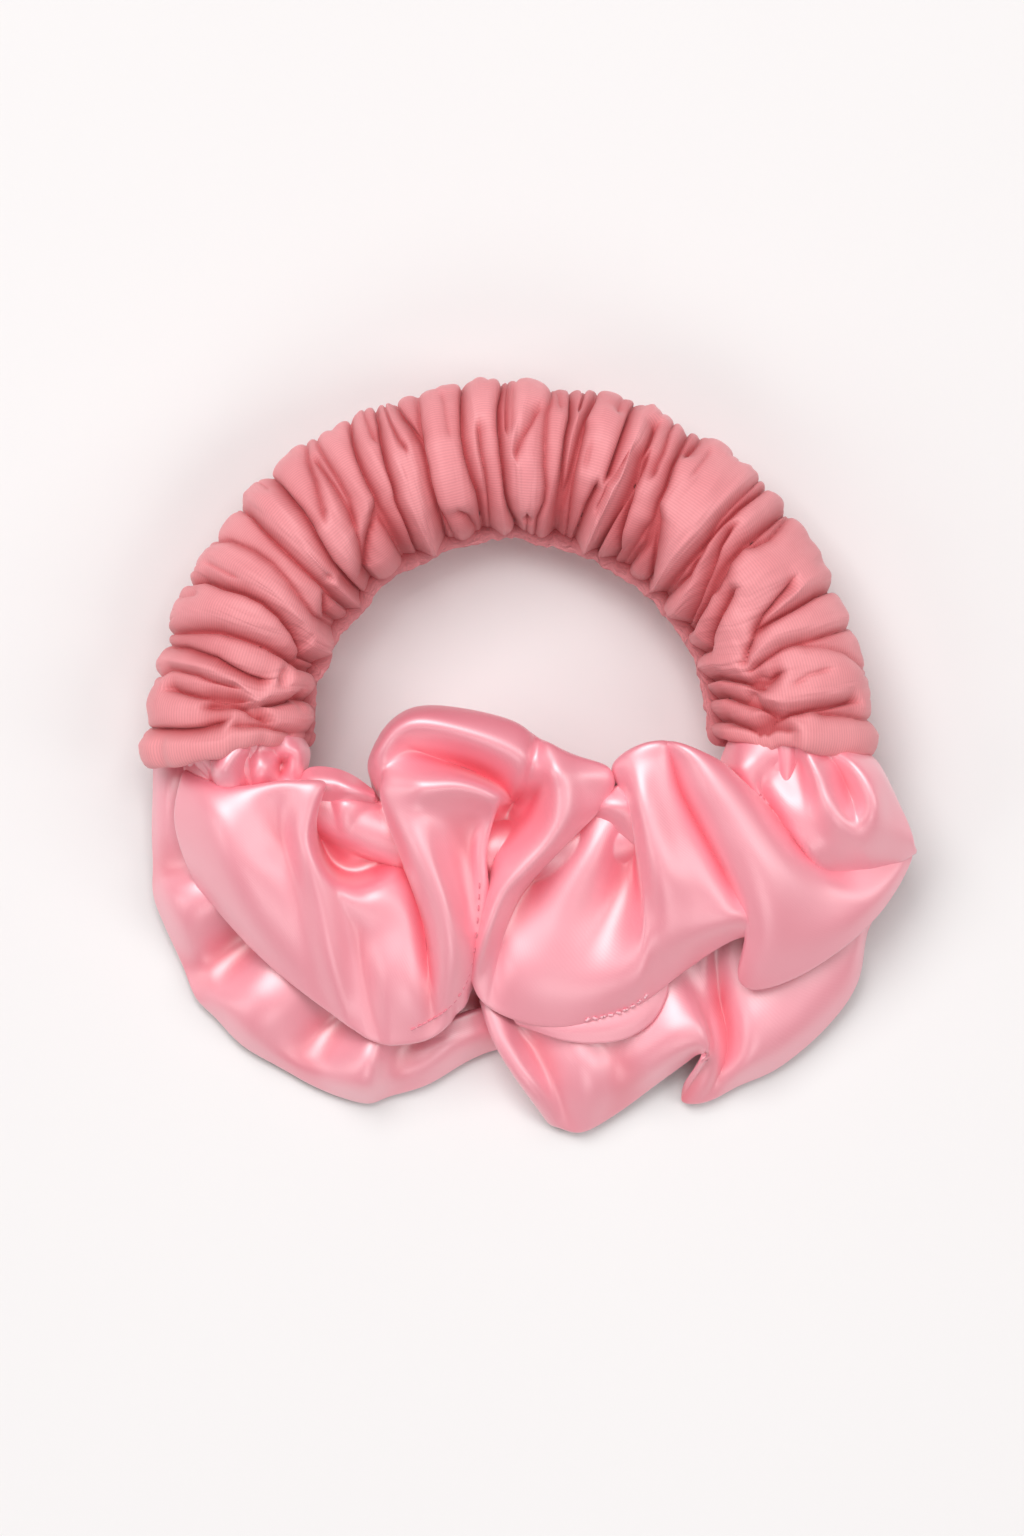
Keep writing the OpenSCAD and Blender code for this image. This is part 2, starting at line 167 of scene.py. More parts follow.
# ------------------------------------------------- the satin's ribs
# A sheet of satin is lofted through ribs. Each rib is a line of points (x, y, z) in mm that runs from the
# gathered edge to the hem, and the ribs follow one another round the ring from its left to its right.
FRONT_RIBS = [
    [(-53.1, -5.1, 15), (-53.9, -8.2, 16), (-54.4, -12.3, 15),
     (-53.9, -16.1, 14), (-52.8, -20, 13), (-51.2, -23.8, 11.5)],
    [(-49.8, -7.1, 19), (-50.6, -9.8, 20.5), (-50.3, -14.7, 20),
     (-49.4, -19.9, 18.5), (-47.2, -26.2, 16), (-45, -31.1, 11.5)],
    [(-46.1, -8.2, 20.5), (-46.6, -12.3, 23.8), (-45.8, -17.1, 24),
     (-44, -22.8, 22.3), (-41.6, -30.2, 17.8), (-39.1, -37.2, 11.5)],
    [(-41.6, -7.7, 22), (-42.1, -11.8, 22), (-41.5, -17.1, 22),
     (-39.5, -22.8, 21.3), (-36.9, -31.9, 17.2), (-33.7, -41.3, 11.5)],
    [(-36.7, -6.7, 23), (-37.4, -10.8, 20.8), (-37.3, -15.5, 18.8),
     (-35.7, -22.1, 18.8), (-33.5, -32.7, 16.5), (-30.5, -43.8, 11.5)],
    [(-31.3, -7.1, 24), (-32.9, -11.1, 24.5), (-33.8, -15, 24.5), (-33.3, -19.2, 24),
     (-31.4, -26.6, 21.5), (-29.5, -35.9, 18), (-27.2, -45.9, 11.5)],
    [(-30.4, -7.4, 22.5), (-31.9, -11.8, 22.5), (-32.5, -16, 22.5), (-31.4, -20.2, 22.5),
     (-29.3, -25.8, 20.5), (-27.4, -35.1, 16.8), (-25.5, -47, 11.5)],
    [(-31.8, -8.5, 18), (-32.2, -12.3, 15.5), (-31.6, -16.7, 13), (-30.1, -20.5, 12.8),
     (-28.7, -23.5, 19.8), (-27.1, -29.1, 18.2), (-26, -36, 15.5), (-23.9, -48.2, 11.5)],
    [(-29.5, -9.7, 17.5), (-29.9, -13.9, 15), (-29, -18.5, 12), (-27.8, -21.8, 12.2),
     (-26.2, -25.1, 19.6), (-25, -31.4, 16.8), (-23.7, -38.4, 14.5), (-21.9, -49.2, 11.5)],
    [(-27, -10.2, 19.5), (-27.2, -14.2, 18.5), (-26.3, -18.5, 13), (-25, -22, 12.2),
     (-23.6, -25.3, 19), (-22.5, -31.7, 17.4), (-21.4, -39.2, 16.2), (-20.5, -49.5, 11.5)],
    [(-24.3, -9.8, 18), (-24.3, -14.7, 16.5), (-23.6, -18.4, 12.5), (-22.4, -21.1, 12.4),
     (-20.9, -24.2, 18.6), (-19.9, -30.5, 17.8), (-19.6, -39.2, 17), (-19, -49.5, 11.5)],
    [(-21.4, -10.3, 17), (-20.6, -15.6, 15), (-19.6, -18.9, 13), (-18.6, -20.2, 13.7),
     (-17.6, -23.5, 16.8), (-16.6, -31, 17.2), (-16.2, -40.8, 16.6), (-15.2, -49.2, 11.5)],
    [(-20.7, -9.8, 17), (-18.8, -16.4, 15), (-16.8, -21.3, 14), (-14.9, -27, 14.5),
     (-13.2, -33.4, 14.5), (-12.9, -41.2, 14.2), (-12.3, -48, 12)],
    [(-23.1, -4.6, 19), (-21.9, -4, 22.5), (-20.8, -5.3, 23.5), (-21.6, -7.7, 24), (-19.3, -12.2, 24.3),
     (-15.9, -19.2, 24.5), (-12.7, -26.9, 23), (-10.4, -35.5, 20.5), (-10.1, -45.9, 12.5)],
    [(-21.8, -1.2, 20), (-20.3, -0.9, 25), (-19, -3, 23), (-17.8, -7.2, 26), (-15.7, -11.8, 25.5),
     (-13.5, -18.7, 25.5), (-10.9, -26.4, 24.3), (-9.1, -35.2, 20.8), (-9.2, -44.7, 12.5)],
    [(-19.7, 2.5, 21), (-18.1, 1.7, 26.5), (-16.1, -1.7, 21.5), (-13.9, -7.1, 27), (-12.3, -11.1, 24.3),
     (-11.4, -17.9, 23), (-9.4, -26.1, 22), (-8, -34.6, 19.5), (-8.2, -43.6, 12.5)],
    [(-15.6, 5.1, 22), (-14.6, 2.8, 27.5), (-10.7, -3.8, 20), (-9.1, -6.7, 27), (-8.4, -10.6, 23.3),
     (-8.8, -17.6, 20), (-7.7, -25.8, 19), (-6.8, -34, 18), (-7.4, -42.3, 12.5)],
    [(-7.5, 4.6, 23), (-6.6, 0.9, 27.5), (-5.1, -5.9, 17.5), (-4.5, -8, 26), (-5.2, -11.1, 22.5),
     (-6.5, -18, 19), (-5.9, -25.8, 18.3), (-5.9, -33, 17.3), (-6.7, -40.9, 12.5)],
    [(0.2, 2.5, 23), (-0.2, -1.7, 26.5), (-1.5, -7.9, 17.5), (-2.8, -9, 25), (-3.7, -11.9, 22),
     (-4.9, -18.5, 20.3), (-4.4, -25, 19), (-5.2, -31.9, 17.5), (-6.2, -39.8, 12.5)],
    [(2.8, 0.9, 23), (2.3, -3.6, 25.5), (0, -9.8, 17), (-1.9, -9.5, 24), (-3.1, -12.4, 22),
     (-4.4, -18.5, 19.5), (-3.9, -25, 18), (-4.9, -31.5, 17), (-5.9, -38.7, 12.5)],
    [(3.6, 0.4, 22), (3.1, -4.1, 24), (0.7, -9.8, 16.5), (-2.6, -10.8, 17), (-4.1, -13.9, 16),
     (-5.7, -19.3, 15.5), (-6.4, -25, 15), (-6.7, -31.1, 14), (-7.2, -36.9, 12)],
    [(4.6, -0.2, 22), (4.2, -4.1, 24), (2, -9.3, 17.5), (0, -12, 16), (-1.5, -14.3, 14.5),
     (-3.3, -18.7, 15), (-4.1, -24.6, 14.5), (-5.6, -30.8, 14.5), (-6.4, -36, 12.5)],
    [(6, -0.9, 24), (5.7, -4.6, 25), (4.4, -9, 18.5), (2.8, -12.3, 17), (0.8, -15.1, 17.5),
     (-1.5, -18.8, 19), (-2.9, -23.7, 19), (-4.7, -30.7, 17.5), (-6.4, -37.5, 13.5)],
    [(8, -1.9, 24), (7.3, -4.6, 26.5), (8.1, -8.2, 26.5), (7.9, -12.7, 26), (6, -16.6, 25),
     (2.3, -20.9, 24), (-1, -24.4, 23), (-3.7, -31, 20.5), (-6.2, -38.9, 14)],
    [(11.2, -3.2, 23), (11.2, -5.3, 24.5), (12, -8.2, 23.5), (11.7, -11.8, 22.5), (8.8, -16, 21.5),
     (4.4, -20.6, 20.5), (0.7, -24.7, 19.5), (-2.3, -31, 18), (-5.6, -40.9, 13.5)],
    [(16.1, -5.1, 22), (16.8, -6.6, 21.5), (15.5, -9.5, 20.5), (13.7, -11.8, 20), (9.8, -15.7, 19),
     (5.4, -20.3, 18), (1.6, -24.5, 17), (-1.3, -30.4, 16.5), (-4.4, -42.6, 13)],
    [(14.5, -7.9, 18), (14.5, -9, 18), (12.6, -11.5, 17.5), (10.8, -14.1, 16.5), (7.5, -17.5, 14.5),
     (4.1, -21.6, 14), (0.8, -25.9, 14.2), (-1.5, -31.9, 14.8), (-3.4, -43.4, 12.5)],
    [(16.1, -9.8, 18), (15, -11.5, 18), (12.9, -14.2, 18), (10.3, -17.7, 17.5), (7.5, -21.8, 16.8),
     (4.9, -26.5, 16.2), (2.1, -32.2, 16.3), (-0.2, -38.7, 16.3), (-1, -44.9, 12)],
    [(16.8, -10.2, 18), (16.3, -12.1, 18.7), (14.3, -15.9, 20), (12.4, -19.9, 20.3), (10.1, -23.7, 19.8),
     (8, -28.6, 18.8), (6, -34.3, 17.8), (4.2, -40.5, 16.2), (3.4, -46.5, 12)],
    [(17.4, -10.3, 19), (17.3, -12.4, 18.7), (15.8, -16.3, 19.2), (14.8, -20.6, 18.8), (13.9, -24.8, 17.8),
     (12.6, -29.7, 16.8), (10.6, -35.1, 16.5), (8.8, -40.9, 15.6), (8.2, -46.8, 12)],
    [(18.1, -10.3, 19), (18.3, -12.8, 18.3), (17.6, -17.2, 16.5), (17.2, -21.3, 14.5), (16.8, -25.4, 13.8),
     (16, -30.3, 14.5), (14.7, -36, 15.8), (13.2, -40.9, 15.5), (12.9, -46, 12)],
    [(19.1, -10.2, 18.5), (19.4, -13.1, 18.3), (19.9, -18, 15.8), (20.3, -22.1, 14.3), (20.3, -26.2, 14.8),
     (19.6, -31.1, 16.8), (18.8, -35.9, 17.6), (17.6, -40, 16.4), (17, -45, 12)],
    [(19.7, -10.2, 18.5), (20, -13.1, 18.5), (20.9, -18, 17), (21.5, -22.9, 17), (22, -26.9, 18.3),
     (21.8, -31, 19), (21.4, -35.4, 18.5), (21, -39.2, 16.8), (21.1, -42.7, 12.5)],
    [(16.4, -4.6, 22), (18.4, -6.2, 22.5), (19.5, -9.8, 23), (20.5, -13.9, 23), (21.4, -18.8, 23),
     (22.1, -22.8, 22), (22.5, -26.9, 20.8), (23.1, -32.6, 19.7), (25, -40, 13)],
    [(18.5, -2.3, 24), (19.6, -4.6, 25), (20.9, -9, 26.5), (22.2, -13.9, 26.5), (23.5, -18.7, 26),
     (24.3, -22.8, 25), (24.9, -26.9, 23), (26.2, -32.6, 20), (27.6, -38, 13)],
    [(21.7, -0.7, 25), (22.6, -3.3, 25), (23.7, -7.4, 25), (25.3, -13.1, 24.5), (27.1, -17.9, 24),
     (28.4, -22.5, 23.5), (29.4, -26.9, 22), (30.4, -31.3, 20), (31.6, -35.2, 13.5)],
    [(24.8, -0.4, 25), (25.3, -2.8, 24.5), (26.1, -7.4, 24), (28.3, -12.3, 23), (30.7, -17.5, 23),
     (32.8, -22, 22.5), (34.3, -26.1, 22), (35.3, -29.3, 21), (35.9, -32.1, 15.5)],
    [(25.3, -0.6, 24), (26, -3.3, 22.5), (27, -7.7, 21), (29.3, -12.3, 20), (32.2, -17.5, 19.5),
     (34.9, -22.1, 19), (37, -26.1, 19.5), (38.1, -28.7, 20), (39.2, -31.1, 16.5)],
    [(26.6, -0.7, 25), (27.8, -3.6, 24.5), (29.4, -7.9, 24), (31.8, -12.3, 23.5), (34.3, -17.1, 23),
     (36.9, -22, 22.5), (38.6, -26.6, 21), (39.3, -31.8, 18), (37, -38.6, 13)],
    [(29, -1.4, 26), (30.6, -4.3, 26.5), (32.7, -8.5, 26.5), (35.2, -13.1, 26), (38, -17.9, 25.5),
     (40.4, -22.8, 24), (41.8, -27.7, 22), (41.6, -33.5, 18.5), (39.1, -41.1, 12.5)],
    [(32.1, -2.7, 25), (33.9, -5.3, 26), (36.3, -9.3, 26), (39.1, -13.9, 25.5), (41.7, -18.3, 24.5),
     (44.5, -23.1, 22.5), (45.7, -28.1, 20), (45.8, -33.5, 17), (44.8, -39.6, 12.5)],
    [(34.8, -4.1, 23), (36.9, -6.9, 24), (39.1, -10.1, 24), (41.7, -14, 23.5), (44.4, -18.3, 22.5),
     (47.5, -23, 20.5), (49.6, -27.8, 18), (50.4, -31.9, 16), (50.6, -36.2, 12.5)],
    [(37.6, -6.6, 21), (39.2, -8.4, 22), (41.1, -10.3, 22), (43.4, -13.4, 21.5), (46.2, -17.3, 20.5),
     (50, -22.2, 18.5), (53.4, -25.8, 16.5), (54.7, -29.4, 15), (55.2, -32.9, 12)],
    [(40, -9.4, 14), (42, -11, 14), (44.5, -14.3, 14), (47.2, -17.7, 14), (50.5, -21, 14.5),
     (53.4, -23.6, 15.5), (56.3, -26.2, 15.5), (57.7, -28.2, 14), (58.5, -29.7, 11.5)],
    [(43.2, -9.9, 13), (45.6, -11.5, 13), (48.6, -14.4, 13), (51.4, -17.2, 13), (54.6, -20, 13.5),
     (57.4, -22.3, 14.5), (59.6, -24.4, 14.5), (60.8, -25.7, 13.5), (61.4, -26.7, 11)],
    [(45.6, -9.9, 13), (48.6, -11.2, 13), (51.9, -13.5, 13), (55.1, -16.1, 13), (58.4, -18.4, 13),
     (61, -20.3, 13), (63, -21.6, 13), (63.7, -22.5, 12), (63.9, -23, 11)],
    [(47.3, -9, 12), (50.6, -9.9, 12), (54.2, -11.8, 12), (57.5, -14.1, 12), (60.4, -16.1, 12),
     (62.9, -17.6, 12), (64.5, -18.4, 12), (65, -18.7, 11.5), (65.4, -19, 11)],
]

RIGHT_END_RIBS = [
    [(38, 3.9, 16), (34.5, -4, 15), (35.4, -5.3, 16), (37.1, -6.9, 16),
     (39.4, -9.2, 15), (41.5, -11.8, 15), (43.9, -15.1, 15), (47.2, -20, 14)],
    [(39.3, 3.9, 18.5), (37, -2.5, 19), (37.6, -4.5, 20.5), (38.6, -6.2, 20.5),
     (39.9, -8.4, 19.5), (41.9, -11.1, 18.5), (44.7, -15.1, 18), (49.1, -21.3, 16)],
    [(41.2, 4.2, 20), (41.3, -2, 21), (41, -4, 20.5), (40.9, -6.2, 19.5),
     (41.1, -9, 18), (43, -11.8, 18), (46.3, -16, 18.5), (50.8, -23.1, 15)],
    [(43.4, 4.5, 20.8), (45.4, -1.7, 20), (44.3, -4, 19), (43.6, -7.2, 19.5),
     (44.6, -10.6, 20.5), (46.4, -13.9, 20.5), (48.8, -18, 20), (52.7, -23.1, 12.8)],
    [(46.1, 4.5, 20.8), (47, -1.7, 21), (47.4, -4, 20), (47.7, -7.2, 20.5),
     (48.3, -10.6, 21.5), (49.6, -13.9, 21.5), (51.6, -17.6, 20), (54.8, -22.6, 12.8)],
    [(48.2, 4.5, 20.4), (48.2, -2, 23.5), (49.3, -4.6, 24.5), (50.6, -7.9, 24.5),
     (52.1, -11.1, 24.5), (53.3, -13.7, 23.5), (55, -17.3, 20), (57.3, -22, 12.8)],
    [(50.5, 4.7, 19.4), (50.6, -1.4, 21.5), (53.1, -4.1, 20.5), (54.7, -7.4, 20),
     (55.7, -10.3, 20.5), (56.4, -13.7, 22.5), (57.8, -17.2, 20), (59.9, -21.1, 12.8)],
    [(52.5, 4.5, 17.4), (53.2, -1.4, 20.5), (55.2, -3.6, 23.5), (57.3, -6.6, 24.5),
     (58.6, -9.8, 24.5), (59, -12.4, 23.5), (60.2, -15.7, 20), (62, -20.2, 12.8)],
    [(54.3, 4.2, 14.5), (56.5, -1.7, 15), (58.1, -3.6, 19.5), (59.9, -6.2, 21.5),
     (61, -9.5, 20.5), (61.7, -12.3, 19.5), (62.8, -15.2, 18), (64.1, -19.2, 12.8)],
    [(55.2, 3.6, 12), (58, -2, 10.5), (59.8, -4.1, 15), (61.4, -7.2, 16.5),
     (63, -10.7, 16), (64.3, -13.4, 15.5), (65.3, -16.1, 15), (66, -18.2, 12.2)],
]

BACK_RIBS = [
    [(-51, -2.7, 10), (-54.2, -2.8, 11), (-56.7, -3.3, 10), (-58.3, -3.8, 8)],
    [(-48.5, -8.2, 9), (-52.6, -8.2, 11.5), (-55.8, -8.5, 12), (-57.5, -9, 10), (-58.5, -9.4, 7)],
    [(-47.7, -14.8, 9), (-51.8, -15.6, 10), (-55.6, -15.6, 9.5), (-57.6, -16.1, 8), (-58.8, -16.6, 6)],
    [(-46.9, -19.7, 8), (-51, -21, 9), (-54.3, -21.7, 7.5), (-56.7, -22, 6), (-58.4, -22.4, 4)],
    [(-46.1, -22.6, 10), (-50.1, -23.6, 11.5), (-53.4, -24.3, 11), (-56.3, -25, 9), (-58.3, -26.3, 4)],
    [(-43.6, -26.3, 9.5), (-47.7, -27.9, 11), (-50.9, -29.5, 11), (-53.6, -30.9, 9), (-55.8, -32.3, 3)],
    [(-40.9, -28.8, 6), (-44.1, -31.3, 4.5), (-47.6, -33.9, 4), (-50.4, -36.2, 4), (-53.5, -37.6, 2.2)],
    [(-38.8, -31.3, 5), (-42.1, -34.2, 4.2), (-45.8, -37.5, 3.8), (-49, -40.3, 3.8), (-51.7, -41.7, 2)],
    [(-36.3, -33.7, 8), (-39.9, -37.4, 9), (-43.1, -41, 9), (-46.5, -43.7, 7), (-49.6, -44.5, 2.2)],
    [(-33, -36.9, 8.5), (-36.2, -41, 9.5), (-39.8, -44.6, 9.2), (-43.2, -47.3, 7), (-45.6, -48.5, 2)],
    [(-29.7, -40.3, 7), (-33.3, -44, 7), (-36.6, -47.7, 6.5), (-39.6, -50.3, 5), (-41.4, -51.6, 2)],
    [(-27.3, -42.8, 5), (-31.1, -46.4, 4), (-33.7, -50.2, 4), (-35.2, -53, 4), (-35.8, -54.7, 2)],
    [(-26.2, -44.1, 4.5), (-28.5, -47.4, 4.2), (-30.1, -51, 5), (-31.1, -54.3, 4.5), (-31.5, -56.9, 1.8)],
    [(-22.8, -46, 7), (-24.8, -49.3, 8), (-26.1, -52.5, 8.5), (-27.1, -55.9, 7), (-27.4, -58.5, 1.8)],
    [(-21.5, -46.8, 8.5), (-22.5, -50, 10), (-23.1, -53.3, 10), (-23.5, -56.5, 8), (-23.7, -59.3, 1.8)],
    [(-19, -47.6, 7), (-20.2, -50.1, 7), (-21, -52.9, 7), (-21.4, -55.9, 6), (-21.3, -58.8, 1.8)],
    [(-15, -47.7, 5), (-15.8, -49.7, 4.2), (-16.6, -52, 4.2), (-17.1, -54.6, 4), (-17.3, -57.5, 1.8)],
    [(-10, -46, 7), (-10.3, -48.3, 7), (-11, -50.3, 7), (-11.7, -52.6, 5.5), (-12.2, -55.5, 1.8)],
    [(-5.9, -44.4, 6), (-5.9, -46.9, 6), (-6.1, -48.5, 6), (-6.3, -50.4, 4.5), (-6.4, -52.1, 1.8)],
    [(-1.5, -43.6, 5), (-0.8, -45.7, 4.5), (-0.5, -47.1, 4), (-0.5, -48.4, 3), (-0.7, -49.6, 1.5)],
    [(0.2, -42.7, 6), (1.5, -46.1, 5), (2.8, -49, 4.5), (4.1, -51.8, 4), (5.8, -54.1, 2)],
    [(-5.4, -42.3, 9), (-4.1, -46.8, 9.5), (-2.3, -50.9, 9.5), (1.1, -56.2, 8), (5.8, -62.4, 2.5)],
    [(-3.1, -43.1, 10.5), (-1.3, -48, 11), (0.8, -51.8, 10.5), (4.1, -56.9, 9), (7.6, -63.4, 2.5)],
    [(0.7, -45.2, 8), (2.8, -49.3, 6), (4.8, -52.6, 5.5), (6.9, -56.9, 5), (10.1, -64.3, 2)],
    [(8, -47.6, 9.5), (10.5, -50, 10.5), (11.6, -53.3, 10.5), (12.3, -57.4, 8.5), (12.7, -63.8, 2.2)],
    [(14.6, -48.4, 8), (15.9, -50.6, 7.5), (16.9, -53.4, 7), (17.6, -56.7, 5.5), (18.1, -60.6, 2.2)],
    [(19.5, -46.8, 9), (21.2, -49.2, 9.5), (22.5, -51.7, 9.5), (23.1, -54, 8), (23.5, -56.6, 4)],
    [(20.5, -36.1, 8), (23.6, -44, 10), (25.1, -46.2, 11),
     (26.4, -48.3, 11.5), (27.4, -50.8, 10.5), (27.9, -53.3, 6)],
    [(23.6, -33.7, 8), (25.7, -41, 10), (27.7, -44.6, 11),
     (29.1, -47.2, 11.5), (30.3, -49.5, 11), (31, -51.1, 8.5)],
    [(26.4, -32, 8), (28, -39.4, 9), (29.8, -43.6, 10),
     (31.3, -46.7, 11), (32.5, -50, 10), (32.3, -51.9, 9)],
    [(29.4, -30.4, 8), (30.5, -37.8, 8), (31.5, -43.5, 7.5), (32.3, -47.6, 7.5),
     (32.7, -51.8, 7), (30.8, -55.1, 5), (27.8, -59, 2)],
    [(31.8, -29.2, 9), (32, -37, 8), (32.5, -43.1, 6.5), (33.8, -47.7, 6.5),
     (33.9, -52.3, 6), (32.1, -56.3, 4.5), (30, -59.5, 2)],
    [(34, -28.7, 9), (33.7, -36.2, 7), (34.6, -42.8, 4), (35.6, -47.7, 3.8),
     (35.6, -51.9, 3.8), (33.9, -55.8, 3.2), (32.6, -59, 1.8)],
    [(36.7, -28.7, 10), (36.6, -35.3, 9), (37.4, -41, 8.5), (38.5, -46, 9),
     (39, -50.1, 8.5), (38.1, -53.9, 6.5), (37.4, -56.7, 2)],
    [(40.8, -28.7, 10), (40.5, -35.3, 9), (41.5, -40.2, 9), (42.5, -44.3, 9),
     (43, -48.4, 8), (42.9, -51.8, 6), (43, -54.4, 2.2)],
    [(41.7, -34.5, 8), (44.9, -37.7, 9), (46.9, -41, 9),
     (47.9, -44.3, 8), (48.5, -47.3, 6), (48.9, -49.8, 2.5)],
    [(45.8, -32, 8), (49.4, -34.5, 8.5), (51.5, -36.9, 8.5),
     (53, -39.4, 7.5), (54.1, -41.9, 5.5), (54.7, -43.5, 3)],
    [(49.9, -29.6, 8), (52.6, -31.2, 9), (54.8, -33.2, 9),
     (56.1, -35.3, 8), (56.9, -37, 6), (57.3, -37.9, 4)],
    [(51.5, -27.1, 8), (54.3, -27.9, 9), (56.4, -28.9, 9),
     (57.6, -29.9, 8), (58.2, -30.6, 6), (58.4, -31.1, 5)],
    [(53.2, -23.8, 8), (55.6, -24.3, 8), (57.6, -25, 8), (59, -26, 7), (59.5, -26.8, 6), (59.9, -27.3, 5)],
]

BAND_RIBS = [
    [(-34.4, -6.3, 17), (-34.1, -8.2, 18), (-33.1, -10.8, 16)],
    [(-32.4, -4.9, 18), (-32.4, -7.2, 20), (-31.5, -10.5, 17)],
    [(-28.7, -5.1, 18.5), (-29, -7.2, 20.5), (-28.7, -10.7, 17)],
    [(-25.9, -6.2, 18), (-26.2, -8, 21), (-25.9, -10, 18)],
    [(-22.7, -8.5, 17), (-22.5, -9.3, 19), (-22.2, -10, 17)],
]

KNOT_RIBS = [
    [(-51.5, 0.1, 13), (-52.5, -2, 13), (-53, -4.6, 14), (-52.1, -8.2, 15)],
    [(-50.1, 0.1, 17), (-50.1, -2, 16.5), (-50.2, -4.9, 17), (-49.8, -8.5, 17)],
    [(-48.7, 0.1, 19), (-48.6, -2, 18.5), (-48.7, -4.9, 18), (-47.5, -9, 17.5)],
    [(-47, 0.1, 21), (-47.1, -2.5, 23), (-47.6, -5.3, 23.5), (-46.4, -8.2, 19)],
    [(-45.4, 0.4, 21.5), (-45.6, -1.7, 24.5), (-46.2, -4.6, 25), (-45.1, -7.9, 20)],
    [(-43.6, 0.4, 21.5), (-43.7, -1.4, 24.5), (-44.5, -4, 23), (-43.7, -8.2, 18.5)],
    [(-42.2, 0.4, 20), (-42.5, -1.4, 19.5), (-43, -4.1, 17.5), (-42.6, -8.5, 17.5)],
    [(-40.5, 0.4, 20.5), (-40.8, -1.7, 20.5), (-41.1, -4.6, 21.5), (-41.2, -8.2, 18.5)],
    [(-38.6, 0.4, 21), (-38.6, -1.7, 18.5), (-38.9, -4.3, 20.5), (-39.3, -7.9, 18.5)],
    [(-36.6, 0.3, 20), (-36.8, -1.7, 20), (-37.6, -4.3, 15.5), (-37.3, -7.2, 18)],
    [(-34.9, 0.1, 17), (-34.7, -1.7, 19.5), (-35.3, -4.3, 19.5), (-35.4, -6.9, 18)],
    [(-33.9, -0.4, 13), (-33.2, -2, 14), (-33.5, -4.6, 16), (-33.8, -6.9, 15)],
]

FOLD_RIBS = [
    [(12.6, -10.3, 18), (13.2, -11.6, 18.5), (14, -12.9, 17)],
    [(15.1, -8.9, 20), (15.8, -10.8, 21.2), (16.5, -13.7, 18.2)],
    [(17.7, -7.7, 20), (18.7, -10.8, 21.4), (19.4, -16, 18.2)],
    [(20, -7.1, 19), (21.2, -11.1, 20), (22.2, -18.3, 17.5)],
]

HEM_RIBS = [
    [(0.8, -45.6, 11.2), (1.1, -46.1, 11), (1.5, -46.4, 10.5)],
    [(3.1, -45.2, 11.5), (3.8, -46.5, 11.3), (4.4, -47.5, 10.8)],
    [(7.4, -45.6, 11.6), (8, -47.4, 11.5), (8.5, -48.8, 11)],
    [(12.1, -45.1, 11.8), (12.9, -47.5, 11.7), (13.3, -49.3, 11)],
    [(16.5, -44.2, 12), (17.8, -46.9, 11.8), (18.8, -48.5, 11)],
    [(19.8, -42.6, 12.2), (21.8, -44.6, 12), (23.1, -45.6, 11.3)],
    [(21.9, -40.1, 12.4), (23.7, -41, 12.2), (25.2, -41.5, 11.5)],
    [(23.6, -38.5, 12.5), (24.7, -39.1, 12.3), (25.5, -39.7, 11.8)],
]


# Small ridges and hollows on the lofted sheets: (height, width, [(x, y), ...]), in mm seen from above.
FRONT_STROKES = [
    (-1.8, 1.5, [(-0.5, -11.2), (0.3, -10.3)]),
    (1.2, 2.6, [(-1.8, -9.8), (-5.1, -9.2), (-9.1, -8.7), (-14.0, -8.2)]),
]
KNOT_STROKES = [
    (-1.6, 1.0, [(-38.2, -4.6), (-37.2, -3.6)]),
]
# Seams seen from above, in mm.
LOBE_SEAM = [(-5.1, -23.2), (-5.4, -29.4), (-6.5, -37.3), (-8.0, -41.2), (-10.6, -44.2), (-13.2, -45.9),
             (-16.2, -47.4)]
FLAP_SEAM = [(12.4, -45.8), (15.0, -45.3), (17.6, -44.6), (20.0, -43.5), (22.2, -41.8)]
# How crisp each front rib's folds stay, from 0 for soft cloth to 1: (rib, crispness).
CRISP_RIBS = [(0, 0.2), (3, 0.2), (5.5, 0.8), (7, 0.9), (11, 0.8), (12.5, 0.9), (22, 1.0), (25, 1.0),
              (27.5, 0.2), (31, 0.1), (32.5, 0.9), (34.5, 0.6), (36, 0.6), (38, 0.9), (40, 0.2), (48, 0.3)]


# ---------------------------------------------------------------- mesh helpers
def catmull(points, steps):
    """Points on a centripetal Catmull-Rom curve through points (n, ..., 3): steps for each of its spans."""
    p = np.asarray(points, float)
    p = np.concatenate([[2 * p[0] - p[1]], p, [2 * p[-1] - p[-2]]])
    out = []
    for i in range(1, len(p) - 2):
        knots = [np.zeros(p.shape[1:-1] + (1,))]
        for k in range(3):
            span = np.linalg.norm(p[i + k] - p[i + k - 1], axis=-1, keepdims=True)
            knots.append(knots[-1] + np.sqrt(np.maximum(span, 1e-4)))
        t0, t1, t2, t3 = knots
        for s in np.arange(steps) / steps:
            t = t1 + (t2 - t1) * s
            a1 = (t1 - t) / (t1 - t0) * p[i - 1] + (t - t0) / (t1 - t0) * p[i]
            a2 = (t2 - t) / (t2 - t1) * p[i] + (t - t1) / (t2 - t1) * p[i + 1]
            a3 = (t3 - t) / (t3 - t2) * p[i + 1] + (t - t2) / (t3 - t2) * p[i + 2]
            b1 = (t2 - t) / (t2 - t0) * a1 + (t - t0) / (t2 - t0) * a2
            b2 = (t3 - t) / (t3 - t1) * a2 + (t - t1) / (t3 - t1) * a3
            out.append((t2 - t) / (t2 - t1) * b1 + (t - t1) / (t2 - t1) * b2)
    out.append(p[-2])
    return np.array(out)


